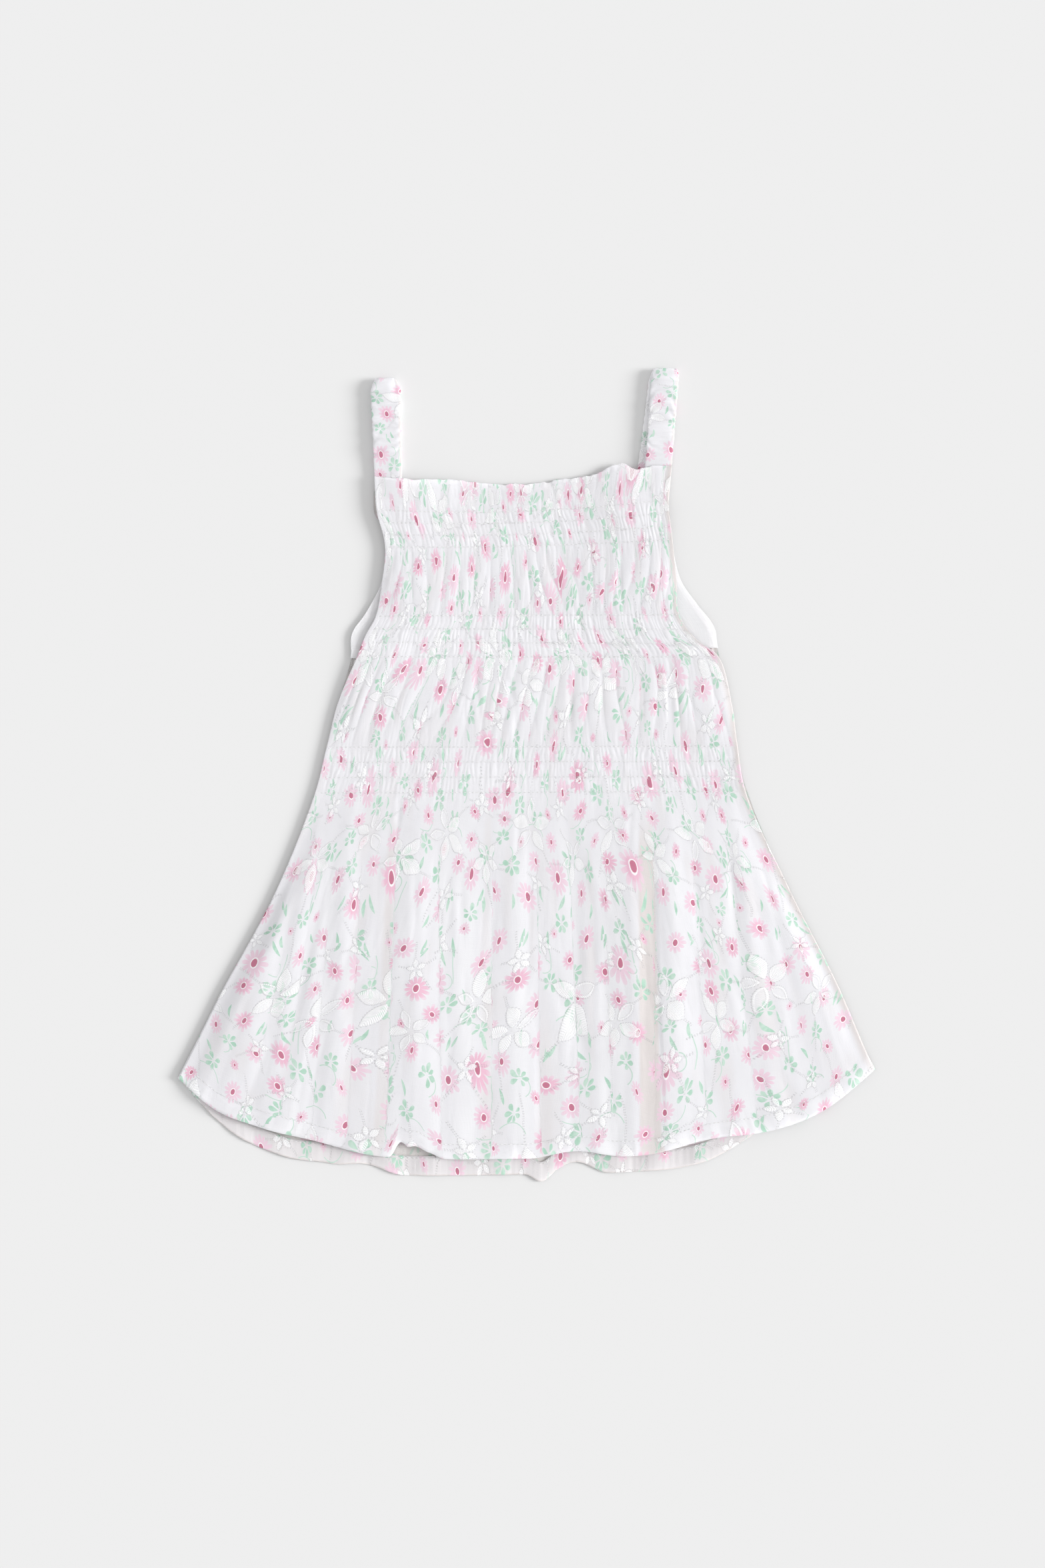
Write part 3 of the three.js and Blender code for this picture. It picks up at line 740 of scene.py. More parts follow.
class Effect:
    """A shared effect: a node group with named inputs and outputs."""

    NAME = ""
    INPUTS: tuple[tuple[str, str], ...] = (("Place", "Vector"),)
    OUTPUTS: tuple[tuple[str, str], ...] = (("Mask", "Float"),)

    def __init__(self) -> None:
        """Make the group and draw what is in it."""
        self.tree = bpy.data.node_groups.new(self.NAME, "ShaderNodeTree")
        for way, sockets in (("INPUT", self.INPUTS), ("OUTPUT", self.OUTPUTS)):
            for name, kind in sockets:
                self.tree.interface.new_socket(name=name, in_out=way, socket_type=f"NodeSocket{kind}")
        graph = Graph(self.tree)
        given = self.tree.nodes.new("NodeGroupInput").outputs
        graph.node("NodeGroupOutput", self.draw(graph, given))

    def draw(self, g: Graph, given: Plugs) -> dict[str, Socket]:
        """Draw the effect's nodes.

        Args:
            g, given: The group's graph and its inputs.

        Returns:
            What feeds each output.
        """
        raise NotImplementedError

    def use(self, g: Graph, **feeds: Socket) -> Plugs:
        """Place the group in a tree, feed it by name and give its outputs."""
        return g.node("ShaderNodeGroup", feeds, node_tree=self.tree).outputs


class Rosette:
    """Petals or lobes around a middle: which one a place is in, and where in it."""

    def __init__(self, g: Graph, place: Socket, count: int, start: Socket) -> None:
        """Find the place within its petal.

        Args:
            g: The tree to add to.
            place: Place across and along the motif in half widths.
            count: Number of petals.
            start: Share of a petal that the first one is turned by.
        """
        x, y, self.seed = g.split(place)
        self.r = g.radius(x, y)
        turns = g.line(g.math("ARCTAN2", y, x), count / (2 * math.pi), start)
        floor = g.math("FLOOR", turns)
        self.index = g.math("FLOORED_MODULO", floor, float(count))
        self.side = g.less(g.less(turns, floor), 0.5)
        angle = g.times(self.side, 2 * math.pi / count)
        self.along = g.times(self.r, g.math("COSINE", angle))
        self.across = g.times(self.r, g.math("ABSOLUTE", g.math("SINE", angle)))

    def lens(self, g: Graph, start: Socket, end: Socket, width: Socket, power: float,
             toward: float = 1.0) -> Plug:
        """Give the half width of a petal that is pointed at both ends.

        Args:
            g: The tree to add to.
            start: Where along it the petal starts.
            end: Where it ends.
            width: Its half width at its widest.
            power: How blunt it is, less than 1 for blunter.
            toward: How far its widest place is moved towards its tip, from 1 for none.

        Returns:
            The half width at the place.
        """
        share = g.math("DIVIDE", g.less(self.along, start), g.less(end, start))
        share = g.node("ShaderNodeClamp", {"Value": share}).outputs[0]
        share = g.math("POWER", share, toward)
        arch = g.math("SINE", g.times(share, math.pi))
        return g.times(g.math("POWER", g.math("MAXIMUM", arch, 0.0), power), width)


class Daisy(Effect):
    """A printed daisy: blunt petals, and a dark oval in a fine white ring."""

    NAME = "Daisy"
    OUTPUTS = (("Petals", "Float"), ("Ring", "Float"), ("Core", "Float"), ("Tone", "Float"))
    PETALS = 12
    SHORTEST = 0.78
    UNEVEN = 0.24
    GAP_POWER = 2.9
    GAP_DEPTH = 0.58
    RAGGED = 0.12
    OVAL = (0.19, 0.25)
    RING_EDGE = (1.42, 1.26)
    OVAL_EDGE = (1.1, 0.92)
    SOFT = 0.025
    STREAKS = 0.5
    PALER_OUTWARD = 0.9
    INNER_TONE = 0.27
    TIP_FADE = 0.35

    def draw(self, g: Graph, given: Plugs) -> dict[str, Socket]:
        """Draw uneven petals around an oval.

        Args:
            g, given: The group's graph and its inputs.

        Returns:
            What feeds each output.
        """
        place = given["Place"]
        petal = Rosette(g, place, self.PETALS, 0.0)
        x, y, seed = g.split(place)
        chance = g.chance(g.line(seed, 37.0, petal.index))
        length = g.line(chance, self.UNEVEN, self.SHORTEST)
        gap = g.math("POWER", g.times(g.math("ABSOLUTE", petal.side), 2.0), self.GAP_POWER)
        radius = g.times(length, g.line(gap, -self.GAP_DEPTH, 1.0))
        radius = g.plus(radius, g.line(g.noise(place, 5.0), self.RAGGED, -self.RAGGED / 2))
        edge = g.less(petal.r, radius)
        core = g.radius(g.math("DIVIDE", x, self.OVAL[0]), g.math("DIVIDE", y, self.OVAL[1]))
        streak = g.line(g.noise(place, 3.0), self.STREAKS, g.less(seed, self.STREAKS / 2))
        streak = g.plus(streak, g.line(petal.r, -self.PALER_OUTWARD, self.INNER_TONE))
        faint = g.line(g.step(petal.r, 0.5, 1.0), -self.TIP_FADE, 1.0)
        return {
            "Petals": g.times(g.step(edge, self.SOFT, -self.SOFT), faint),
            "Ring": g.step(core, *self.RING_EDGE),
            "Core": g.step(core, *self.OVAL_EDGE),
            "Tone": streak,
        }


class LeafFan(Effect):
    """A printed fan of leaf lobes around the end of a stem."""

    NAME = "Leaf fan"
    LOBES = 7
    STEM_LOBE = 2.0
    FIRST_TURN = 0.75
    START = 0.16
    SHORTEST = 0.78
    UNEVEN = 0.26
    NARROWEST = 0.16
    WIDER = 0.08
    BLUNT = 0.7
    TOWARD_TIP = 1.4
    NOTCH_REACH = 0.16
    NOTCH = 0.09
    EDGE = (0.02, -0.035)

    def draw(self, g: Graph, given: Plugs) -> dict[str, Socket]:
        """Draw all lobes but the one where the stem comes in.

        Args:
            g, given: The group's graph and its inputs.

        Returns:
            What feeds each output.
        """
        lobe = Rosette(g, given["Place"], self.LOBES, self.FIRST_TURN)
        chance = g.chance(g.line(lobe.seed, 53.0, lobe.index))
        length = g.line(chance, self.UNEVEN, self.SHORTEST)
        widest = g.line(chance, self.WIDER, self.NARROWEST)
        half = lobe.lens(g, self.START, length, widest, self.BLUNT, self.TOWARD_TIP)
        notch = g.times(g.step(g.less(length, lobe.along), self.NOTCH_REACH, 0.0), self.NOTCH)
        wall = g.less(lobe.across, g.less(half, notch))
        stem = g.math("COMPARE", lobe.index, self.STEM_LOBE, 0.1)
        mask = g.times(g.step(wall, *self.EDGE), g.less(1.0, stem))
        return {"Mask": mask}


class Blade(Effect):
    """A printed narrow leaf that grows upwards from its foot."""

    NAME = "Leaf blade"
    BEND = 0.55
    MIDDLE = 0.3
    BLUNT = 0.85
    EDGE = (0.1, -0.15)

    def draw(self, g: Graph, given: Plugs) -> dict[str, Socket]:
        """Draw a bent leaf, pointed at both ends.

        Args:
            g, given: The group's graph and its inputs.

        Returns:
            What feeds each output.
        """
        x, y, _ = g.split(given["Place"])
        share = g.times(y, 0.5)
        inside = g.times(g.math("GREATER_THAN", share, 0.0), g.math("LESS_THAN", share, 1.0))
        arch = g.math("MAXIMUM", g.math("SINE", g.times(share, math.pi)), 0.0)
        bent = g.math("ABSOLUTE", g.line(arch, self.BEND, g.less(x, self.MIDDLE)))
        mask = g.step(g.less(bent, g.math("POWER", arch, self.BLUNT)), *self.EDGE)
        return {"Mask": g.times(mask, inside)}


class Stem(Effect):
    """A printed fine stem along part of a circle, whose radius in millimetres is Place's z."""

    NAME = "Stem"
    HALF_LINE = 0.3
    SOFT = 0.14
    END_SOFT = 0.02
    LONGEST = 21.0
    WIDEST = 3.4

    def draw(self, g: Graph, given: Plugs) -> dict[str, Socket]:
        """Draw a line that starts along x and runs to the left.

        Args:
            g, given: The group's graph and its inputs.

        Returns:
            What feeds each output.
        """
        x, y, size = g.split(given["Place"])
        away = g.times(g.math("ABSOLUTE", g.less(g.radius(x, y), 1.0)), size)
        angle = g.plus(g.math("ARCTAN2", y, x), 1.0)
        angle = g.less(g.math("FLOORED_MODULO", angle, 2 * math.pi), 1.0)
        reach = g.math("MINIMUM", self.WIDEST, g.math("DIVIDE", self.LONGEST, size))
        far_end = g.step(angle, reach, g.less(reach, self.END_SOFT))
        ends = g.times(g.step(angle, 0.0, self.END_SOFT), far_end)
        drawn = g.step(away, self.HALF_LINE + self.SOFT, self.HALF_LINE - self.SOFT)
        return {"Mask": g.times(drawn, ends)}


class Blossom(Effect):
    """An embroidered flower in white thread, whose half width in millimetres is Place's z."""

    NAME = "Embroidered flower"
    OUTPUTS = (("Cover", "Float"), ("Thread", "Float"), ("Height", "Float"), ("Holes", "Float"))
    PETALS = 5
    FIRST_TURN = 0.25
    SHORTEST = 0.72
    UNEVEN = 0.26
    START = 0.12
    NARROWEST = 0.15
    WIDER = 0.08
    BLUNT = 0.8
    BODY_EDGE = (0.15, -0.25)
    RIM_EDGE = (-1.5, -0.9)
    SLANT = 0.5
    THREAD_PITCH = 1.05
    SMALL = 12.0
    OUTLINED = 0.4
    THIN_FILLING = 0.2
    HOLE_PITCH = 1.5
    HOLES_FROM = 0.14

    def draw(self, g: Graph, given: Plugs) -> dict[str, Socket]:
        """Draw petals in satin stitch or in outline, each with pierced edges.

        Args:
            g, given: The group's graph and its inputs.

        Returns:
            What feeds each output.
        """
        petal = Rosette(g, given["Place"], self.PETALS, self.FIRST_TURN)
        size = petal.seed
        chance = g.chance(g.line(size, 17.3, petal.index))
        other = g.chance(g.line(size, 5.1, g.plus(petal.index, 20.0)))
        length = g.line(chance, self.UNEVEN, self.SHORTEST)
        half = petal.lens(g, self.START, length, g.line(other, self.WIDER, self.NARROWEST), self.BLUNT)
        wall = g.times(g.less(petal.across, half), size)
        body = g.step(wall, *self.BODY_EDGE)
        rim = g.times(body, g.step(wall, *self.RIM_EDGE))
        run = g.times(g.line(petal.across, -self.SLANT, petal.along), size)
        thread = g.line(g.math("SINE", g.times(run, 2 * math.pi / self.THREAD_PITCH)), 0.5, 0.5)
        small = g.math("LESS_THAN", size, self.SMALL)
        satin = g.math("MAXIMUM", g.math("GREATER_THAN", other, self.OUTLINED), small)
        filling = g.times(body, g.line(satin, 1 - self.THIN_FILLING, self.THIN_FILLING))
        cover = g.math("MAXIMUM", filling, rim)
        near = g.times(g.step(wall, 0.9, 0.5), g.step(wall, 0.0, 0.3))
        beat = g.math("SINE", g.times(g.times(petal.along, size), 2 * math.pi / self.HOLE_PITCH))
        shown = g.math("GREATER_THAN", petal.along, self.HOLES_FROM)
        holes = g.times(g.times(near, shown), g.step(beat, 0.2, 0.7))
        height = g.times(cover, g.line(thread, 0.5, 0.5))
        return {"Cover": cover, "Thread": thread, "Height": height, "Holes": holes}


class Weave(Effect):
    """Plain weave with slubs, over the flat cloth in millimetres."""

    NAME = "Plain weave"
    OUTPUTS = (("Height", "Float"), ("Tone", "Float"))
    PITCH = 0.62
    SLUB_LENGTH = 0.06
    SLUB_SCALE = 1.3
    THREADS = 0.3

    def draw(self, g: Graph, given: Plugs) -> dict[str, Socket]:
        """Cross two sets of threads and thicken some of them.

        Args:
            g, given: The group's graph and its inputs.

        Returns:
            What feeds each output.
        """
        x, y, _ = g.split(given["Place"])
        warp = g.math("SINE", g.times(x, 2 * math.pi / self.PITCH))
        weft = g.math("SINE", g.times(y, 2 * math.pi / self.PITCH))
        down = g.noise(g.join(x, g.times(y, self.SLUB_LENGTH)), self.SLUB_SCALE, 1.0)
        over = g.noise(g.join(g.times(x, self.SLUB_LENGTH), y), self.SLUB_SCALE, 1.0)
        slub = g.plus(down, over)
        height = g.line(g.times(warp, weft), self.THREADS, slub)
        return {"Height": height, "Tone": slub}


@dataclass(frozen=True)
class Dyes:
    """Colours of the printed voile in linear light, and how thread and holes cover it."""

    pale: Colour = (0.815, 0.62, 0.715, 1)
    deep: Colour = (0.80, 0.50, 0.62, 1)
    core: Colour = (0.55, 0.19, 0.28, 1)
    leaf: Colour = (0.42, 0.64, 0.52, 1)
    leaf_light: Colour = (0.57, 0.73, 0.64, 1)
    stem: Colour = (0.55, 0.70, 0.62, 1)
    ring: Colour = (0.93, 0.90, 0.92, 1)
    thread: Colour = (0.97, 0.97, 0.98, 1)
    # Painted shade seen in the pierced holes of the embroidery
    hole: Colour = (0.55, 0.54, 0.56, 1)
    thread_least: float = 0.47
    thread_more: float = 0.45
    hole_share: float = 0.4
    hole_depth: float = 0.6


class PrintedCloth(Effect):
    """The whole print with its embroidery, from the places within each kind of motif."""

    NAME = "Printed voile"
    INPUTS = tuple((kind.value, "Vector") for kind in Motif) + (
        ("Ground", "Color"), ("Strength", "Float"), ("Embroidery", "Float"))
    OUTPUTS = (("Color", "Color"), ("Height", "Float"), ("Cover", "Float"))
    TWO_TONES = (0.35, 0.65)

    def __init__(self, dyes: Dyes) -> None:
        """Draw the motifs' own groups first, then the print from them."""
        self.dyes = dyes
        self.parts = {
            Motif.DAISY: Daisy(), Motif.FAN: LeafFan(), Motif.BLADE: Blade(),
            Motif.STEM: Stem(), Motif.BLOSSOM: Blossom(),
        }
        super().__init__()

    def draw(self, g: Graph, given: Plugs) -> dict[str, Socket]:
        """Lay the dyes over the ground one after another, then the white thread.

        Args:
            g, given: The group's graph and its inputs.

        Returns:
            What feeds each output.
        """
        made = {kind: part.use(g, Place=given[kind.value]) for kind, part in self.parts.items()}
        dyes, strength = self.dyes, given["Strength"]
        daisy, blossom = made[Motif.DAISY], made[Motif.BLOSSOM]
        mottled = g.step(g.noise(given[Motif.FAN.value], 1.6), *self.TWO_TONES)
        leaf = g.mix(mottled, dyes.leaf, dyes.leaf_light)
        petal = g.mix(g.step(daisy["Tone"], *self.TWO_TONES), dyes.pale, dyes.deep)
        colour = given["Ground"]
        tones = (
            (made[Motif.STEM]["Mask"], dyes.stem), (made[Motif.FAN]["Mask"], leaf),
            (made[Motif.BLADE]["Mask"], leaf), (daisy["Petals"], petal),
            (daisy["Ring"], dyes.ring), (daisy["Core"], dyes.core),
        )
        for mask, dye in tones:
            colour = g.mix(g.times(mask, strength), colour, dye)
        sewn = g.times(blossom["Cover"], given["Embroidery"])
        gaps = g.line(blossom["Thread"], dyes.thread_more, dyes.thread_least)
        colour = g.mix(g.times(sewn, gaps), colour, dyes.thread)
        # Painted shade in the pierced holes
        pierced = g.times(blossom["Holes"], given["Embroidery"])
        colour = g.mix(g.times(pierced, dyes.hole_share), colour, dyes.hole)
        height = g.less(blossom["Height"], g.times(blossom["Holes"], dyes.hole_depth))
        return {"Color": colour, "Height": height, "Cover": sewn}


@dataclass(frozen=True)
class Effects:
    """The effects that the finishes share, made once."""

    printed: PrintedCloth
    weave: Weave


def new_cloth(name: str) -> tuple[bpy.types.Material, Graph]:
    """Make an empty material.

    Args:
        name: The material's name.

    Returns:
        The material and the graph of its tree.
    """
    material = bpy.data.materials.new(name)
    material.use_nodes = True
    material.node_tree.nodes.clear()
    return material, Graph(material.node_tree)


@dataclass(frozen=True)
class ClothBody:
    """How light meets a cloth: how rough and woven it is, and how deep light goes in."""

    roughness: float
    weave_height: float
    depth: float
    depth_reach: float
    specular: float = 0.25
    sheen: float = 0.1
    sheen_roughness: float = 0.5

    def join(self, g: Graph, colour: Socket, roughness: Socket, relief: Socket) -> None:
        """Join a cloth's colour and relief to its shader.

        Args:
            g: The material's graph.
            colour: The colour of the cloth.
            roughness: How rough it is.
            relief: The height of its weave and thread, in millimetres.
        """
        bump = g.node("ShaderNodeBump", {"Height": relief, "Distance": MM})
        finish = g.node("ShaderNodeBsdfPrincipled", {
            "Base Color": colour, "Roughness": roughness, "Normal": bump.outputs[0],
            "Specular IOR Level": self.specular, "Sheen Weight": self.sheen,
            "Sheen Roughness": self.sheen_roughness, "Subsurface Weight": self.depth,
            "Subsurface Scale": self.depth_reach * MM, "Subsurface Radius": (1.0, 1.0, 1.0),
        }, subsurface_method="BURLEY")
        g.node("ShaderNodeOutputMaterial", {"Surface": finish.outputs[0]})


@dataclass(frozen=True)
class Voile:
    """Printed voile, whose two sides differ."""

    name: str
    right_side_up: bool
    ground: Colour = (0.79, 0.785, 0.815, 1)
    # Ground where the voile lies in double thickness, and the colour of painted light on fold crests and
    # on the strap's half behind
    doubled_and_lit: Colour = (0.885, 0.885, 0.905, 1)
    # Colour of painted shade in folds, along the front's right edge, on the strap's right side and on
    # the back's hem
    shaded: Colour = (0.70, 0.655, 0.645, 1)
    inside: Colour = (0.75, 0.72, 0.705, 1)
    inside_strength: float = 0.5
    inside_thread: float = 0.4
    thread_height: float = 0.32
    thread_shine: float = 0.25
    body: ClothBody = ClothBody(roughness=0.82, weave_height=0.05, depth=0.7, depth_reach=3.2)

    def material(self, effects: Effects) -> bpy.types.Material:
        """Make the material.

        Args:
            effects: The shared effects.

        Returns:
            The material.
        """
        material, g = new_cloth(self.name)
        behind = g.node("ShaderNodeNewGeometry", {}).outputs["Backfacing"]
        wrong = behind if self.right_side_up else g.less(1.0, behind)
        # The cloth attribute's third value paints the ground: toward double thickness and painted light
        # above 0, toward painted shade below 0
        shown = g.split(g.attribute("cloth"))[2]
        ground = g.mix(g.math("MAXIMUM", shown, 0.0), self.ground, self.doubled_and_lit)
        ground = g.mix(g.math("MAXIMUM", g.times(shown, -1.0), 0.0), ground, self.shaded)
        ground = g.mix(wrong, ground, self.inside)
        places = {kind.value: g.attribute(kind.value) for kind in Motif}
        made = effects.printed.use(
            g, Ground=ground, Strength=g.line(wrong, self.inside_strength - 1, 1.0),
            Embroidery=g.line(wrong, self.inside_thread - 1, 1.0), **places)
        weave = effects.weave.use(g, Place=g.attribute("cloth"))
        relief = g.times(made["Height"], self.thread_height)
        relief = g.line(weave["Height"], self.body.weave_height, relief)
        shine = g.line(made["Cover"], -self.thread_shine, self.body.roughness)
        self.body.join(g, made["Color"], shine, relief)
        return material


@dataclass(frozen=True)
class PlainCloth:
    """Undyed lawn or thread with a weave of its own."""

    name: str
    colour: Colour
    roughness: float = 0.8
    slub_colour: Colour = (0.6, 0.58, 0.56, 1)
    slub_share: float = 0.08

    def material(self, effects: Effects) -> bpy.types.Material:
        """Make the material.

        Args:
            effects: The shared effects.

        Returns:
            The material.
        """
        body = ClothBody(self.roughness, weave_height=0.06, depth=0.5, depth_reach=1.5)
        material, g = new_cloth(self.name)
        weave = effects.weave.use(g, Place=g.attribute("cloth"))
        colour = g.mix(g.times(weave["Tone"], self.slub_share), self.colour, self.slub_colour)
        body.join(g, colour, self.roughness, g.times(weave["Height"], body.weave_height))
        return material


# Meshes


def put(data: bpy.types.ID) -> bpy.types.Object:
    """Put a mesh, lamp or camera in the scene.

    Args:
        data: What to put there, whose name the object takes.

    Returns:
        The object.
    """
    made = bpy.data.objects.new(data.name, data)
    bpy.context.collection.objects.link(made)
    return made


class ClothMesh:
    """A grid of points with its places on the flat cloth, both in millimetres."""

    def __init__(self, name: str, points: Array, flat: Array,
                 tones: Union[Array, float] = 0.0) -> None:
        """Keep the grid.

        Args:
            name: The object's name.
            points: Rows by columns by 3.
            flat: Places on the flat cloth, rows by columns by 2.
            tones: Tone at each point, from -1 for painted shade to 1 for double thickness and painted
                light.
        """
        self.name = name
        self.points = points
        self.flat = flat
        self.tones = np.broadcast_to(tones, points.shape[:2])

    def build(self, material: bpy.types.Material, motifs: Union[Print, None]) -> bpy.types.Object:
        """Make the object with its finish, its flat map and its places in the motifs.

        Args:
            material: Its material.
            motifs: The print on it, or None for plain cloth.

        Returns:
            The object.
        """
        rows, columns = self.points.shape[:2]
        corner = np.arange(rows * columns).reshape(rows, columns)
        faces = np.stack(
            [corner[:-1, :-1], corner[1:, :-1], corner[1:, 1:], corner[:-1, 1:]], -1).reshape(-1, 4)
        mesh = bpy.data.meshes.new(self.name)
        mesh.vertices.add(rows * columns)
        mesh.vertices.foreach_set("co", (self.points * MM).astype(np.float32).ravel())
        mesh.loops.add(faces.size)
        mesh.loops.foreach_set("vertex_index", faces.astype(np.int32).ravel())
        mesh.polygons.add(len(faces))
        mesh.polygons.foreach_set("loop_start", np.arange(0, faces.size, 4, dtype=np.int32))
        mesh.polygons.foreach_set("use_smooth", np.ones(len(faces), bool))
        mesh.update(calc_edges=True)
        flat = self.flat.reshape(-1, 2)[faces]
        low = self.flat.reshape(-1, 2).min(0)
        size = np.ptp(self.flat.reshape(-1, 2), axis=0).max()
        mesh.uv_layers.new(name="OFBake").data.foreach_set(
            "uv", ((flat - low) / size).astype(np.float32).ravel())
        # The cloth attribute keeps the flat place and the painted tone: light above 0, shade below
        self._keep(mesh, "cloth", np.dstack([flat, self.tones.ravel()[faces]]))
        if motifs:
            for kind in Motif:
                self._keep(mesh, kind.value, motifs.places(kind, flat.mean(1), flat))
        mesh.materials.append(material)
        return put(mesh)

    @staticmethod
    def _keep(mesh: bpy.types.Mesh, name: str, values: Array) -> None:
        """Keep a vector for each corner of the mesh."""
        kept = mesh.attributes.new(name, "FLOAT_VECTOR", "CORNER")
        kept.data.foreach_set("vector", values.astype(np.float32).ravel())

    def area(self) -> float:
        """Area of the grid in square millimetres.

        Returns:
            The area.
        """
        p = self.points
        first = np.cross(p[1:, :-1] - p[:-1, :-1], p[1:, 1:] - p[:-1, :-1])
        second = np.cross(p[1:, 1:] - p[:-1, :-1], p[:-1, 1:] - p[:-1, :-1])
        return float((np.linalg.norm(first, axis=-1) + np.linalg.norm(second, axis=-1)).sum() / 2)


# How unevenly the gathers take up cloth: over what reach, how far across and along, and what
# share of it comes only where the cloth is gathered more than so many times
UNEVEN_GATHERS = Table(
    "reach across along ragged", (38, 7.5, 7.5, 0), (9, 1.2, 0.8, 0), (3.4, 1.2, 1.5, 1))
RAGGED_FROM = 1.45
ALONG_START = (70, 30)


def flat_places(panel: Panel, points: Array, cloth: Array, t: Array,
                slope_gain: float, noise: Noise, hidden: Union[Array, float] = 0.0) -> Array:
    """Places on the flat cloth, with more of it taken up on the steep sides of folds.

    Args:
        panel: The panel that the points are on.
        points: Rows of points with the main folds only.
        cloth: Shares across the cloth, for each point.
        t: Row numbers, for each point.
        slope_gain: How strongly steep places take up cloth.
        noise: The noise by which the gathers take up cloth unevenly.
        hidden: How far the cloth hidden in valleys moves the rest across.

    Returns:
        Places across and up the flat cloth, measured from the middle of the top edge.
    """
    dx = np.diff(points[..., 0], axis=1)
    dz = np.diff(points[..., 2], axis=1) * slope_gain
    run = np.concatenate([np.zeros((len(points), 1)), np.cumsum(np.hypot(dx, dz), axis=1)], axis=1)
    share = (cloth + run / run[:, -1:]) / 2
    across = (share - 0.5) * panel.lines.between("print", t) + hidden
    along = panel.down(t)
    gathered = np.clip(panel.lines.between("print", t) / panel.page_width(t) - RAGGED_FROM, 0, 1)
    for row in UNEVEN_GATHERS.each():
        reach, share = row["reach"], 1 - row["ragged"] + row["ragged"] * gathered
        step = across / reach
        across = across + share * row["across"] * noise.at(step, along / reach)
        spread = noise.at(step + ALONG_START[0], along / reach + ALONG_START[1])
        along = along + share * row["along"] * spread
    return np.stack([across, -along], -1)


# The pieces of the dress

# Elastic bands of the front: first and last line, puckers across, and their height
FRONT_BANDS = Table(
    "first last count height", (1, 2, 66, 0.58), (4, 6, 76, 0.54), (8, 9, 94, 0.52))
# The two puffed parts: folds across, the line between them and the highest puff
PUFFS = Table("name folds", ("first puff", 20), ("second puff", 25))
PUFF_PARTING = 5
FULL_PUFF = 3
PUFF_POWER = 0.6


